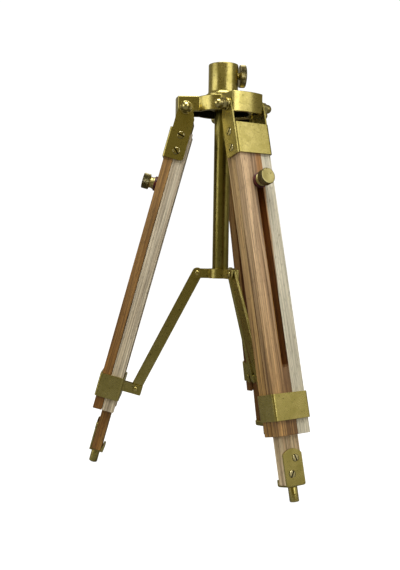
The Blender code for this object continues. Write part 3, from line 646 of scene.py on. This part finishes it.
def wood(name, seed, light, dark, streak, dark_across=None, sapwood=None, slotted=False,
         shaded_above=None, foot=FOOT_TINT):
    """Open-pored wood with its grain along Z.

    dark_across = (from, to) darkens it over that range of Y. sapwood is what sapwood_strip
    needs. slotted wood is darkened in its slot, and shaded_above is the Z above which the wood
    is darkened, inside the leg: both painted shade, with some grime. foot is the tint it takes
    on towards the foot.
    """
    look = Look(name)
    shift = (seed * 0.37, seed * 0.71, seed * 0.53)
    figure = look.noise(look.stretched((1, 1, 0.035), shift), 210, detail=4.0, distortion=0.4)
    bands = look.noise(look.stretched((1, 1, 0.016), shift), 560, detail=3.0)
    lines = look.noise(look.stretched((1, 1, 0.012), shift), 1250, detail=2.0)
    pores = look.noise(look.stretched((1, 1, 0.10), shift), 1500, detail=1.0)
    y, z = look.axis("Y"), look.axis("Z")
    darkness = look.levels(figure, 0.35, 0.65, smooth=True)
    if dark_across is not None:
        darkness = look.both(darkness, 0.6)
        darkness = look.maths("ADD", darkness, look.levels(y, *dark_across, -0.2, 0.5))
        darkness = look.levels(darkness, 0.0, 1.0)
    colour = look.mixed(darkness, light, dark)
    colour = look.mixed(look.levels(bands, 0.50, 0.66, 0.0, 0.80), colour, streak)
    low_down = look.levels(z, -0.30, -0.12, 1.0, 0.0)
    colour = look.mixed(low_down, colour, look.tinted(colour, foot))
    if sapwood is not None:
        colour = sapwood_strip(look, colour, y, z, figure, bands, sapwood)
    shade = look.levels(lines, 0.35, 0.62, 1.12, 0.62)
    grey_shade = look.node("ShaderNodeCombineColor",
                           {"Red": shade, "Green": shade, "Blue": shade})
    colour = look.tinted(colour, grey_shade.outputs["Color"])
    pore_colour = tuple(0.40 * channel for channel in streak)
    colour = look.mixed(look.levels(pores, 0.62, 0.70, 0.0, 0.60), colour, pore_colour)
    # Painted shade, with some grime, inside the slot
    if slotted:
        off_middle = look.maths("ABSOLUTE", y)
        near = look.maths("LESS_THAN", off_middle, SLOT_WIDTH / 2 + FACE_MARGIN)
        below = look.maths("LESS_THAN", z, -SLOT_TOP - SLOT_WIDTH / 2)
        above = look.maths("GREATER_THAN", z, -SLOT_END + SLOT_WIDTH / 2)
        inside = look.both(near, look.both(below, above))
        colour = look.mixed(inside, colour, look.tinted(colour, SHADE_AND_GRIME_TINT))
    # Painted shade, with some grime, on the extension where it runs inside the leg
    if shaded_above is not None:
        in_leg_shade = look.levels(z, shaded_above - 0.008, shaded_above + 0.008)
        colour = look.mixed(in_leg_shade, colour, look.tinted(colour, SHADE_AND_GRIME_TINT))
    roughness = look.levels(lines, 0.3, 0.7, 0.46, 0.64)
    normal = look.bump(lines, 0.3, 0.00008)
    normal = look.bump(pores, -0.35, 0.00010, before=normal)
    return look.finish(colour, roughness, normal)


def fibre(name):
    """Dark red pressed fibre, mottled, with a few lighter blotches."""
    look = Look(name)
    mottle = look.noise(look.coords, 900)
    blotch = look.noise(look.coords, 200, detail=2.0)
    colour = look.mixed(look.levels(mottle, 0.3, 0.7), (0.09, 0.009, 0.009), (0.040, 0.005, 0.006))
    colour = look.mixed(look.levels(blotch, 0.5, 0.7, 0.0, 0.5), colour, (0.20, 0.03, 0.02))
    roughness = look.levels(mottle, 0.3, 0.7, 0.40, 0.60)
    return look.finish(colour, roughness, look.bump(mottle, 0.3, 0.00006))


# ---------------------------------------------------------------- head, socket and column

def lobed_outline(inset=0.0):
    """The head's plan: three lobes with flat sides and round ends, standing out of a drum."""
    half = LOBE_HALF_WIDTH - inset
    end_radius = LOBE_END_RADIUS - inset
    drum_radius = DRUM_RADIUS - inset
    end_angle = math.asin(half / end_radius)
    root_angle = math.asin(half / drum_radius)
    points = []
    for azimuth in LOBE_AZIMUTHS:
        points += turned_about(azimuth, arc((0, 0), end_radius, -end_angle, end_angle))
        points += turned_about(azimuth, arc((0, 0), drum_radius, root_angle,
                                            2 * math.pi / 3 - root_angle))
    return points


def make_head():
    """The casting, its skirt shorter near the axis, and a dark sheet inside its hollow: painted
    shade.
    """
    low, high = span("head_casting", column_matrix)
    near_axis = circle((0, 0), SHORT_SKIRT_RADIUS, TURN_STEPS)
    shorter = prism("shorter", near_axis, low.z - HEAD_WALL, high.z - DRUM_SKIRT)
    head = combined(prism("head", lobed_outline(), low.z, high.z), shorter)
    head = rounded(head, HEAD_EDGE, 3)
    ceiling = high.z - HEAD_TOP_PLATE
    hollow = prism("hollow", lobed_outline(HEAD_WALL), low.z - HEAD_WALL, ceiling)
    head = combined(head, rounded(hollow, HOLLOW_EDGE, 3))
    place("cast_head", head, column_matrix, "frame", satin, "satin_brass", ["head_casting"])
    # A dark sheet just inside the hollow: painted shade
    shade_sheet = prism("shade_sheet", lobed_outline(HEAD_WALL + LINING_GAP), low.z + 5 * LINING_GAP, ceiling - LINING_GAP)
    room = prism("room", lobed_outline(HEAD_WALL + 3 * LINING_GAP), low.z - LINING_GAP, ceiling - 3 * LINING_GAP)
    shorter = prism("shorter", near_axis, low.z - HEAD_WALL, high.z - DRUM_SKIRT + 5 * LINING_GAP)
    shade_sheet = combined(combined(shade_sheet, room), shorter)
    place("shade_lining", shade_sheet, column_matrix, "frame", shade_lining, "satin_brass")


def make_socket():
    """The cup that a telescope's post stands in, flared at its foot."""
    low, high = span("socket_cup", column_matrix)
    top, foot = high.z, low.z
    base = (high.x - low.x) / 2
    inner = SOCKET_RADIUS - SOCKET_WALL
    lip = 0.0005
    shoulder = 0.0006
    sweep = SOCKET_FLARE_TOP - SOCKET_BASE_TOP
    profile = [(0, SOCKET_FLOOR), (inner, SOCKET_FLOOR)]
    profile += arc((inner + lip, top - lip), lip, math.pi, math.pi / 2, 5)
    profile += arc((SOCKET_RADIUS - lip, top - lip), lip, math.pi / 2, 0, 5)
    profile += [(SOCKET_RADIUS + (base - shoulder - SOCKET_RADIUS) * step ** 2,
                 SOCKET_FLARE_TOP - sweep * (1 - (1 - step) ** 2))
                for step in (0, 0.2, 0.4, 0.6, 0.8, 1)]
    profile += arc((base - shoulder, SOCKET_BASE_TOP - shoulder), shoulder, math.pi / 2, 0, 5)
    profile += [(base, foot), (0, foot)]
    cup = lathe("cup", profile)
    hole = moved(prism("hole", circle((0, 0), CLAMP_STEM_RADIUS + GAP), 0, base), ALONG_X)
    to_column = column_matrix.inverted() @ clamp_matrix()
    cup = combined(cup, moved(hole, to_column))
    place("socket_tube", cup, column_matrix, "frame", satin, "satin_brass", ["socket_cup"],
          flat=False)


def make_socket_thumbscrew():
    """A coin-shaped disc on a neck and a stem, which goes through the cup's wall."""
    matrix = clamp_matrix()
    low, high = span("socket_thumbscrew", matrix)
    radius = (high.z - low.z) / 2
    outer = high.x
    inner = outer - CLAMP_DISC
    edge = 0.0008
    profile = [(0, outer), (radius - 2 * edge, outer)]
    profile += arc((radius - edge, outer - edge), edge, math.pi / 2, 0, 5)
    profile += arc((radius - edge, inner + edge), edge, 0, -math.pi / 2, 5)
    profile += [(CLAMP_NECK + CLAMP_NECK_FILLET, inner), (CLAMP_NECK, inner - CLAMP_NECK_FILLET),
                (CLAMP_NECK, SOCKET_RADIUS + GAP), (CLAMP_STEM_RADIUS, SOCKET_RADIUS + GAP),
                (CLAMP_STEM_RADIUS, low.x), (0, low.x)]
    disc = moved(lathe("disc", profile, 112, teeth=(radius - KNURLED_RIM, KNURL)), ALONG_X)
    place("socket_clamp_screw", disc, matrix, "socket_clamp", disc_brass, "satin_brass",
          ["socket_thumbscrew"], flat=False)


def make_column():
    """A tube, its lower end rounded."""
    low, high = span("centre_column", column_matrix)
    radius = high.x
    inner = radius - COLUMN_WALL
    edge = 0.0004
    profile = [(inner, high.z), (radius, high.z), (radius, low.z + edge)]
    profile += arc((radius - edge, low.z + edge), edge, 0, -math.pi / 2, 5)
    profile += [(inner, low.z)]
    column = lathe("column", profile, ring=True)
    place("column_tube", column, column_matrix, "frame", shaded_column_brass, "bright_brass",
          ["centre_column"], flat=False)


def make_hinge_bolts():
    """Domed hexagon heads over washers, one pair for each hinge."""
    for side in SIDES:
        matrix = leg_matrix(side)
        low, high = span("hinge_bolt_" + side, matrix)
        reach = high.y
        seat = span("bracket_" + side, matrix)[1].y + GAP
        flange = seat + BOLT_WASHER
        hexagon_end = flange + NUT_HEIGHT
        dome_centre = reach - NUT_DOME_RADIUS
        soft = 0.0004
        cap = arc((0, dome_centre), NUT_DOME_RADIUS, math.pi / 2, 0, 14)
        cap += [(NUT_DOME_RADIUS, flange - soft)]
        cap += arc((BOLT_WASHER_RADIUS - soft, flange - soft), soft, math.pi / 2, 0, 4)
        cap += [(BOLT_WASHER_RADIUS, seat)]
        cap[0] = (0, reach)
        hexagon = prism("hexagon", circle((0, 0), NUT_ACROSS_FLATS / math.sqrt(3), 6),
                        flange - soft, hexagon_end)
        chamfer = [(0, hexagon_end + soft), (NUT_DOME_RADIUS, hexagon_end + soft / 2),
                   (BOLT_WASHER_RADIUS, hexagon_end - NUT_CHAMFER),
                   (BOLT_WASHER_RADIUS, flange - 2 * soft), (0, flange - 2 * soft)]
        hexagon = combined(hexagon, lathe("chamfer", chamfer, 48), "INTERSECT")
        bolt_shank = [(BOLT_RADIUS, seat), (BOLT_RADIUS, low.y), (0, low.y)]
        for kind, shank, turn in (("bolt", bolt_shank, ALONG_Y), ("nut", [(0, seat)], AGAINST_Y)):
            item = combined(lathe(kind, cap + shank, 48), hexagon, "UNION")
            place("domed_" + kind + "_" + side, moved(item, turn), matrix, "frame", nut_brass,
                  "bright_brass", ["hinge_" + kind + "_" + side])


# ---------------------------------------------------------------- hub and arms

def make_hub():
    """A ring on the column with three forked ears."""
    low, high = span("spreader_hub", column_matrix)
    hub = prism("hub", circle((0, 0), HUB_RING_RADIUS, TURN_STEPS), low.z, high.z)
    outline = rounded_rectangle(HUB_EAR_ROOT, low.z, HUB_EAR_REACH, high.z, HUB_EAR_CORNER)
    ear = moved(prism("ear", outline, -HUB_EAR_HALF, HUB_EAR_HALF), UPRIGHT)
    slot = block("slot", (HUB_SLOT_BASE, -CLEVIS_SLOT_HALF, low.z - GAP),
                 (2 * HUB_EAR_REACH, CLEVIS_SLOT_HALF, high.z + GAP))
    for item, operation in ((ear, "UNION"), (slot, "DIFFERENCE")):
        for side in SIDES:
            hub = combined(hub, moved(item, side_matrix(side)), operation)
    bore_radius = span("centre_column", column_matrix)[1].x + GAP
    bore = prism("bore", circle((0, 0), bore_radius, TURN_STEPS), low.z - GAP, high.z + GAP)
    hub = rounded(combined(hub, bore), HUB_EDGE)
    place("hub_casting", hub, column_matrix, "hub", satin, "satin_brass", ["spreader_hub"])


def rivet(half, shank, hollow=False):
    """A pin along Y with a domed head at each end; a hollow one has a dimple in each head."""
    radius = PIVOT_HEAD_RADIUS
    dome = [(0, half)]
    if hollow:
        dimple = half - 0.9 * PIVOT_HEAD
        dome = [(0, dimple), (0.45 * radius, dimple), (0.50 * radius, half)]
    dome += [(0.65 * radius, half), (0.88 * radius, half - 0.35 * PIVOT_HEAD),
             (radius, half - 0.85 * PIVOT_HEAD), (radius, half - PIVOT_HEAD),
             (shank, half - PIVOT_HEAD)]
    mirrored = [(across, -height) for across, height in reversed(dome)]
    return moved(lathe("rivet", dome + mirrored, 32), ALONG_Y)


def make_arms():
    """Flat arms from the hub's pins to the collars', with a slotted eye at the lower end."""
    for side in SIDES:
        pivot = Vector(JOINTS["arm_swing_" + side]["pos_m"])
        clevis = leg_matrix(side) @ Vector((CLEVIS_PIN_X, 0, -CLEVIS_PIN_DOWN))
        along = Vector(JOINTS["arm_swing_" + side]["axis"])
        up = (pivot - clevis).normalized()
        matrix = frame_at(pivot, along.cross(up), along, up)
        low, high = span("arm_" + side, matrix)
        length = (clevis - pivot).length
        arm = prism("arm", rounded_bar(length, ARM_WIDTH / 2), low.y, high.y)
        arm = rounded(arm, ARM_EDGE)
        half_slot = (ARM_SLOT_LENGTH - ARM_SLOT_WIDTH) / 2
        eye = [(x, y + half_slot - length)
               for x, y in rounded_bar(2 * half_slot, ARM_SLOT_WIDTH / 2)]
        for loop in (eye, circle((0, 0), PIVOT_PIN_RADIUS + GAP)):
            arm = combined(arm, prism("hole", loop, 2 * low.y, 2 * high.y))
        place("spreader_arm_" + side, moved(arm, UPRIGHT), matrix, "arm_" + side, satin,
              "satin_brass", ["arm_" + side])
        upright = side_matrix(side, pivot)
        half = span("hub_pin_" + side, upright)[1].y
        pin = rivet(half, PIVOT_PIN_RADIUS, hollow=True)
        place("hub_rivet_" + side, pin, upright, "hub", polished, "bright_brass",
              ["hub_pin_" + side], flat=False)


# ---------------------------------------------------------------- legs

def make_bracket_mesh():
    """Sheet brass over the board's outer face, folded back into two hinge straps."""
    matrix = leg_matrix("left")
    low, high = span("bracket_left", matrix)
    profile = (arc((0, 0), STRAP_TOP_RADIUS, 0, math.pi, 24)
               + [(low.x, -STRAP_SHOULDER)]
               + arc((low.x + BRACKET_CORNER, low.z + BRACKET_CORNER), BRACKET_CORNER,
                     math.pi, 1.5 * math.pi, 8)
               + [(high.x, low.z), (high.x, -BRACKET_PLATE_TOP),
                  (STRAP_OUTER, -BRACKET_PLATE_TOP), (STRAP_OUTER, -STRAP_SHOULDER)])
    side_view = moved(prism("side_view", profile, 2 * low.y, 2 * high.y), UPRIGHT)
    far = 2 * low.x
    outside = rounded_rectangle(far, low.y, high.x, high.y, BEND, 8)
    inside_y = high.y - SHEET
    inside = rounded_rectangle(2 * far, -inside_y, high.x - SHEET, inside_y, BEND - SHEET)
    bracket = prism("bracket", outside, low.z - SHEET, high.z + SHEET)
    bracket = combined(bracket, side_view, "INTERSECT")
    bracket = combined(bracket, prism("inside", inside, 2 * low.z, 2 * high.z))
    hole = moved(prism("hole", circle((0, 0), BOLT_RADIUS + GAP), 2 * low.y, 2 * high.y), UPRIGHT)
    bracket = rounded(combined(bracket, hole))
    for down in BRACKET_SCREWS:
        centre = (BRACKET_SCREW_X, -down)
        for near, far in ((2 * low.y, low.y + SINK_DEPTH), (high.y - SINK_DEPTH, 2 * high.y)):
            sink = prism("sink", circle(centre, SINK_RADIUS), near, far)
            bracket = combined(bracket, moved(sink, UPRIGHT))
    return bracket


def screw_mesh(radius, crown):
    """A slotted pan head seated on Z = 0, its slot along X."""
    shoulder = 0.45 * crown
    shoulder_angle = math.pi / 2.6
    profile = [(0, crown), (0.62 * radius, 0.96 * crown)]
    profile += arc((radius - shoulder, crown - shoulder), shoulder, shoulder_angle, 0, 6)
    profile += [(radius, SCREW_UNDERSIDE), (0, SCREW_UNDERSIDE)]
    head = lathe("screw", profile, SMALL_STEPS)
    slot = block("slot", (-2 * radius, -SCREW_SLOT / 2, 0.1 * crown),
                 (2 * radius, SCREW_SLOT / 2, 2 * crown))
    return combined(head, slot)


def make_brackets():
    """The brackets and the screws that hold them, each stopped at a turn of its own."""
    mesh = make_bracket_mesh()
    head = screw_mesh(SCREW_HEAD, SCREW_CROWN)
    turns = iter(BRACKET_SCREW_TURNS)
    for side in SIDES:
        matrix = leg_matrix(side)
        place("sheet_bracket_" + side, mesh, matrix, "leg_" + side, satin, "satin_brass",
              ["bracket_" + side])
        high = span("bracket_" + side, matrix)[1]
        for hand, sign, facing in (("a", -1, AGAINST_Y), ("b", 1, ALONG_Y)):
            for number, down in enumerate(BRACKET_SCREWS, 1):
                seat = Vector((BRACKET_SCREW_X, sign * (high.y - SINK_DEPTH), -down))
                seated = matrix @ Matrix.Translation(seat) @ facing
                place(f"bracket_screw_{hand}{number}_{side}", head,
                      seated @ Matrix.Rotation(next(turns), 4, "Z"), "leg_" + side,
                      screw_brass, "satin_brass")


def make_board_mesh(low, high):
    """The outer board, with the long slot that the leg thumbscrew goes through."""
    board = rounded(block("board", low, high), TIMBER_EDGE)
    radius = SLOT_WIDTH / 2
    slot = [(x, y - SLOT_TOP - radius)
            for x, y in rounded_bar(SLOT_END - SLOT_TOP - SLOT_WIDTH, radius)]
    slot = moved(prism("slot", slot, 2 * low.x - CLEAR, 2 * high.x), FACING_OUT)
    return combined(board, slot)


def make_timber():
    """Each leg's slotted board, its two rails and the extension that slides between them."""
    for side in SIDES:
        matrix = leg_matrix(side)
        board = make_board_mesh(*span("outer_board_" + side, matrix))
        place("slotted_board_" + side, board, matrix, "leg_" + side, board_wood[side],
              "outer_wood", ["outer_board_" + side])
        for hand in ("a", "b"):
            node = "rail_" + hand + "_" + side
            rail = rounded(block("rail", *span(node, matrix)), TIMBER_EDGE)
            place("guide_rail_" + hand + "_" + side, rail, matrix, "leg_" + side,
                  rail_wood[side], "rail_wood", [node])
        node = "extension_" + side
        bar = rounded(block("bar", *span(node, matrix)), TIMBER_EDGE)
        place("sliding_bar_" + side, bar, matrix, "extension_" + side, extension_wood[side],
              "extension_wood", [node])


def make_collars():
    """A band round each leg with a clevis behind it, and the pin through the clevis."""
    matrix = leg_matrix("left")
    low, high = span("collar_left", matrix)
    rail_low = span("rail_a_left", matrix)[0].x
    inner_x = rail_low - GAP
    inner_y = high.y - SHEET
    outside = rounded_rectangle(inner_x - SHEET, low.y, high.x, high.y, BEND, 8)
    inside = rounded_rectangle(inner_x, -inner_y, high.x - SHEET, inner_y, BEND - SHEET)
    collar = prism("collar", outside, low.z, high.z)
    ear = rounded_rectangle(low.x, -CLEVIS_END, inner_x - SHEET / 2, -CLEVIS_TOP, CLEVIS_CORNER)
    for sign in (-1, 1):
        near, far = sorted((sign * CLEVIS_SLOT_HALF, sign * (CLEVIS_SLOT_HALF + CLEVIS_EAR)))
        collar = combined(collar, moved(prism("ear", ear, near, far), UPRIGHT), "UNION")
    collar = combined(collar, prism("inside", inside, 2 * low.z, 0.5 * high.z))
    collar = rounded(collar)
    for side in SIDES:
        matrix = leg_matrix(side)
        place("collar_band_" + side, collar, matrix, "leg_" + side, satin, "satin_brass",
              ["collar_" + side])
        pin_matrix = matrix @ Matrix.Translation((CLEVIS_PIN_X, 0, -CLEVIS_PIN_DOWN))
        half = span("clevis_pin_" + side, pin_matrix)[1].y
        place("clevis_rivet_" + side, rivet(half, PIVOT_PIN_RADIUS), pin_matrix, "leg_" + side,
              polished, "bright_brass", ["clevis_pin_" + side], flat=False)


def foot_screw_places(matrix, side):
    """Where the foot screws' heads stand on the foot plate's outer face."""
    places = []
    for number in (1, 2):
        low, high = span(f"foot_screw_{number}_{side}", matrix)
        places.append(((low.y + high.y) / 2, (low.z + high.z) / 2))
    return places


def make_foot_plate_mesh():
    """A strap down the extension's outer face, under its end and a little way up the back."""
    matrix = leg_matrix("left")
    low, high = span("foot_plate_left", matrix)
    back, front = low.x, high.x
    end, top = low.z, high.z
    floor = end + SHEET
    curl = FOOT_CURL
    side_view = rounded_loop([(front, top + SHEET), (front - SHEET, top + SHEET),
                              (front - SHEET, floor), (back + curl, floor),
                              (back + curl, -FOOT_LIP_TOP), (back, -FOOT_LIP_TOP), (back, end),
                              (front, end)], FOOT_BEND, 7)
    wrap = moved(prism("wrap", side_view, low.y, high.y), UPRIGHT)
    half = high.y
    arch = math.asin(half / FOOT_PLATE_ARCH)
    corner = half - FOOT_CORNER
    face = (arc((-corner, end + FOOT_CORNER), FOOT_CORNER, math.pi, 1.5 * math.pi, 10)
            + arc((corner, end + FOOT_CORNER), FOOT_CORNER, 1.5 * math.pi, 2 * math.pi, 10)
            + arc((0, top - FOOT_PLATE_ARCH), FOOT_PLATE_ARCH, math.pi / 2 - arch,
                  math.pi / 2 + arch, 32))
    face = moved(prism("face", face, back - SHEET, front + SHEET), FACING_OUT)
    plate = rounded(combined(wrap, face, "INTERSECT"))
    for across, up in foot_screw_places(matrix, "left"):
        sink = prism("sink", circle((across, up), FOOT_SCREW_HEAD + FOOT_SINK_MARGIN),
                     front - SINK_DEPTH, front + SHEET)
        plate = combined(plate, moved(sink, FACING_OUT))
    return plate


def make_feet():
    """Each extension's foot plate, its stud and its two screws."""
    plate = make_foot_plate_mesh()
    head = screw_mesh(FOOT_SCREW_HEAD, SCREW_CROWN)
    turns = iter(FOOT_SCREW_TURNS)
    for side in SIDES:
        matrix = leg_matrix(side)
        place("foot_strap_" + side, plate, matrix, "extension_" + side, satin, "satin_brass",
              ["foot_plate_" + side])
        low, high = span("foot_pin_" + side, matrix)
        radius = (high.y - low.y) / 2
        shoulder = span("foot_plate_" + side, matrix)[0].z - GAP
        edge = 0.0010
        profile = [(0, high.z), (FOOT_PIN_SHANK, high.z), (FOOT_PIN_SHANK, shoulder)]
        profile += arc((radius - edge / 2, shoulder - edge / 2), edge / 2, math.pi / 2, 0, 4)
        profile += arc((radius - edge, low.z + edge), edge, 0, -math.pi / 2, 6)
        profile += [(0, low.z)]
        pin_matrix = matrix @ Matrix.Translation(((low.x + high.x) / 2, 0, 0))
        place("foot_stud_" + side, lathe("pin", profile, 56), pin_matrix, "extension_" + side,
              satin, "satin_brass", ["foot_pin_" + side], flat=False)
        face = span("foot_plate_" + side, matrix)[1].x
        for number, (across, up) in enumerate(foot_screw_places(matrix, side), 1):
            seated = matrix @ Matrix.Translation((face - SINK_DEPTH, across, up)) @ ALONG_X
            place(f"slotted_screw_{number}_{side}", head,
                  seated @ Matrix.Rotation(next(turns), 4, "Z"), "extension_" + side,
                  screw_brass, "satin_brass", [f"foot_screw_{number}_{side}"])


def make_locks():
    """The leg thumbscrews, each with a grooved fibre washer under its knob."""
    matrix = leg_matrix("left")
    low, high = span("leg_thumbscrew_left", matrix)
    down = (low.z + high.z) / 2
    radius = (high.z - low.z) / 2
    outer = high.x
    inner = outer - KNOB_LENGTH
    washer_low, washer_high = span("fibre_washer_left", matrix)
    seat = washer_high.x + GAP
    edge = 0.0007
    profile = [(0, outer - KNOB_DISH), (0.55 * radius, outer - KNOB_DISH),
               (0.72 * radius, outer)]
    profile += arc((radius - edge, outer - edge), edge, math.pi / 2, 0, 5)
    profile += arc((radius - edge / 2, inner + edge / 2), edge / 2, 0, -math.pi / 2, 4)
    profile += arc((KNOB_WAIST + KNOB_FILLET, inner - KNOB_FILLET), KNOB_FILLET,
                   math.pi / 2, math.pi, 5)
    flange = seat + KNOB_FLANGE_THICKNESS
    profile += [(KNOB_WAIST, flange + KNOB_FLANGE_SLOPE), (KNOB_FLANGE, flange),
                (KNOB_FLANGE, seat), (LOCK_STEM, seat), (LOCK_STEM, low.x), (0, low.x)]
    knob = moved(lathe("knob", profile, 84, teeth=(radius - KNURLED_RIM, KNURL)), ALONG_X)
    rim = (washer_high.z - washer_low.z) / 2
    middle = (washer_high.x + washer_low.x) / 2
    soft = 0.0003
    bore = LOCK_STEM + GAP
    washer_profile = [(bore, washer_high.x)]
    washer_profile += arc((rim - soft, washer_high.x - soft), soft, math.pi / 2, 0, 4)
    washer_profile += [(rim, middle + soft / 2), (rim - 2 * soft, middle), (rim, middle - soft / 2)]
    washer_profile += arc((rim - soft, washer_low.x + soft), soft, 0, -math.pi / 2, 4)
    washer_profile += [(bore, washer_low.x)]
    washer = moved(lathe("washer", washer_profile, 56, ring=True), ALONG_X)
    for side in SIDES:
        matrix = leg_matrix(side) @ Matrix.Translation((0, 0, down))
        place("lock_knob_" + side, knob, matrix, "lock_" + side, knob_brass, "bright_brass",
              ["leg_thumbscrew_" + side], flat=False)
        place("lock_washer_" + side, washer, matrix, "lock_" + side, red_fibre, "red_fibre",
              ["fibre_washer_" + side], flat=False)


# ---------------------------------------------------------------- stage, light and camera

def make_floor():
    floor = prism("floor", circle((0, 0), FLOOR_RADIUS, 64), FLOOR_UNDERSIDE, FLOOR_TOP)
    item = new_object("floor", floor)
    look = Look("pale_floor")
    cloud = look.noise(look.coords, 3)
    colour = look.mixed(cloud, (0.20, 0.20, 0.20), (0.23, 0.23, 0.23))
    roughness = look.levels(cloud, 0.3, 0.7, 0.7, 0.8)
    floor.materials.append(look.finish(colour, roughness, look.bump(cloud, 0.02, 0.001)))
    # The camera sees the floor overexposed, as on a lit table; the brass sees it dim.
    seen = look.node("ShaderNodeLightPath").outputs["Is Camera Ray"]
    look.put(look.shader, {"Emission Color": WHITE, "Emission Strength": look.levels(seen, 0, 1)})


def soft_box(name, azimuth, elevation, distance, size, power):
    """A large rectangular light aimed at the tripod's middle."""
    data = bpy.data.lights.new(name, "AREA")
    data.shape = "RECTANGLE"
    data.size, data.size_y = size
    data.energy = power
    item = new_object(name, data)
    azimuth = math.radians(azimuth)
    elevation = math.radians(elevation)
    towards = Vector((math.sin(azimuth) * math.cos(elevation),
                      -math.cos(azimuth) * math.cos(elevation), math.sin(elevation)))
    item.location = Vector(LIGHTS_AIM) + towards * distance
    item.rotation_euler = towards.to_track_quat("Z", "Y").to_euler()


def make_world():
    """White to the camera; a dim room, brighter behind the tripod, to everything else."""
    world = bpy.data.worlds.new("studio")
    bpy.context.scene.world = world
    world.use_nodes = True
    nodes = Nodes(world.node_tree)
    direction = nodes.node("ShaderNodeTexCoord").outputs["Generated"]
    split = nodes.node("ShaderNodeSeparateXYZ", {"Vector": direction})
    behind = nodes.levels(split.outputs["Y"], -1.0, 1.0)
    room = nodes.tree.nodes["Background"]
    nodes.put(room, {"Color": nodes.mixed(behind, ROOM_NEAR, ROOM_FAR), "Strength": 1.0})
    backdrop = nodes.node("ShaderNodeBackground",
                          {"Color": WHITE, "Strength": BACKDROP_BRIGHTNESS})
    seen = nodes.node("ShaderNodeLightPath").outputs["Is Camera Ray"]
    choose = nodes.node("ShaderNodeMixShader", {0: seen, 1: room.outputs["Background"],
                                                2: backdrop.outputs["Background"]})
    nodes.put(nodes.tree.nodes["World Output"], {"Surface": choose.outputs["Shader"]})


def make_camera():
    """The camera looks nearly at the column, off it by a small yaw, pitch and roll."""
    data = bpy.data.cameras.new("camera")
    data.lens = CAMERA_LENS
    camera = new_object("camera", data)
    stand = Vector((-CAMERA_DISTANCE * math.sin(CAMERA_AZIMUTH),
                    -CAMERA_DISTANCE * math.cos(CAMERA_AZIMUTH), CAMERA_HEIGHT))
    turn = (Matrix.Rotation(CAMERA_YAW - CAMERA_AZIMUTH, 4, "Z")
            @ Matrix.Rotation(math.pi / 2 - CAMERA_PITCH, 4, "X")
            @ Matrix.Rotation(CAMERA_ROLL, 4, "Z"))
    camera.matrix_world = Matrix.Translation(column_centre() + stand) @ turn
    bpy.context.scene.camera = camera


# ---------------------------------------------------------------- assembly

column_matrix = Matrix.Translation(column_centre())

satin = brass("satin_brass", (0.52, 0.44, 0.15), (0.38, 0.32, 0.085), 0.23, 0.34)
polished = brass("polished_brass", (0.58, 0.49, 0.18), (0.50, 0.42, 0.14), 0.28, 0.36,
                 speckling=0.3, unevenness=0.00001)
nut_brass = brass("nut_brass", (0.60, 0.51, 0.20), (0.50, 0.42, 0.14), 0.20, 0.28,
                  speckling=0.2, unevenness=0.00001, dirt_and_shade=seat_shade)
# The column's brass is darker than the rest because of painted shade, as the column stands under
# the head. Its grain along Z is its own
shaded_column_brass = brass("shaded_column_brass", (0.32, 0.27, 0.07), (0.24, 0.20, 0.04), 0.28, 0.38,
                     grain=(1, 1, 0.04), speckling=0.3, unevenness=0.00001)
# The dark sheet inside the head's hollow: painted shade
shade_lining = brass("shade_lining", (0.06, 0.05, 0.02), (0.03, 0.025, 0.01), 0.55, 0.70, lacquer=0.0)
screw_brass = brass("screw_brass", (0.70, 0.62, 0.34), (0.48, 0.42, 0.21), 0.16, 0.26,
                    dirt_and_shade=slot_shade)
knob_brass = brass("knob_brass", (0.50, 0.44, 0.18), (0.40, 0.34, 0.13), 0.42, 0.52,
                   dirt_and_shade=rim_dirt_and_shade(half_height("leg_thumbscrew_left", leg_matrix("left"))))
disc_brass = brass("disc_brass", (0.46, 0.39, 0.16), (0.34, 0.29, 0.10), 0.28, 0.38,
                   dirt_and_shade=rim_dirt_and_shade(half_height("socket_thumbscrew", clamp_matrix())))
red_fibre = fibre("red_fibre")

board_wood = {
    "left": wood("board_wood_left", 1, ORANGE_BROWN, DEEP_ORANGE, DARK_BROWN, slotted=True),
    "front": wood("board_wood_front", 2, TAN, PINK_BROWN, MID_BROWN,
                  dark_across=(-0.012, -0.004), sapwood=(SAPWOOD, 0.0071, 0.022, RUST),
                  slotted=True),
    "rear": wood("board_wood_rear", 3, TAN, PINK_BROWN, DARK_BROWN, slotted=True),
}
rail_wood = {
    "left": wood("rail_wood_left", 4, CREAM, GREY_BEIGE, GREY_BROWN, foot=NO_TINT),
    "front": wood("rail_wood_front", 5, (0.70, 0.48, 0.22), (0.42, 0.26, 0.11), MID_BROWN),
    "rear": wood("rail_wood_rear", 6, ORANGE_BROWN, DEEP_ORANGE, DARK_BROWN),
}
extension_wood = {
    "left": wood("extension_wood_left", 7, (0.52, 0.33, 0.14), ORANGE_BROWN, DARK_BROWN,
                 shaded_above=SHADED_ABOVE),
    "front": wood("extension_wood_front", 8, STRAW, (0.66, 0.49, 0.30), PINK_BROWN,
                  shaded_above=SHADED_ABOVE, foot=NO_TINT),
    "rear": wood("extension_wood_rear", 9, ORANGE_BROWN, DEEP_ORANGE, DARK_BROWN,
                 shaded_above=SHADED_ABOVE),
}

make_head()
make_socket()
make_socket_thumbscrew()
make_column()
make_hinge_bolts()
make_hub()
make_arms()
make_brackets()
make_timber()
make_collars()
make_feet()
make_locks()

nut = frame["nodes"]["column_nut"]
nut.data.materials.clear()
nut.data.materials.append(satin)

make_floor()
make_world()
for box in SOFT_BOXES:
    soft_box(*box)
bpy.context.scene.view_settings.view_transform = "Standard"
make_camera()
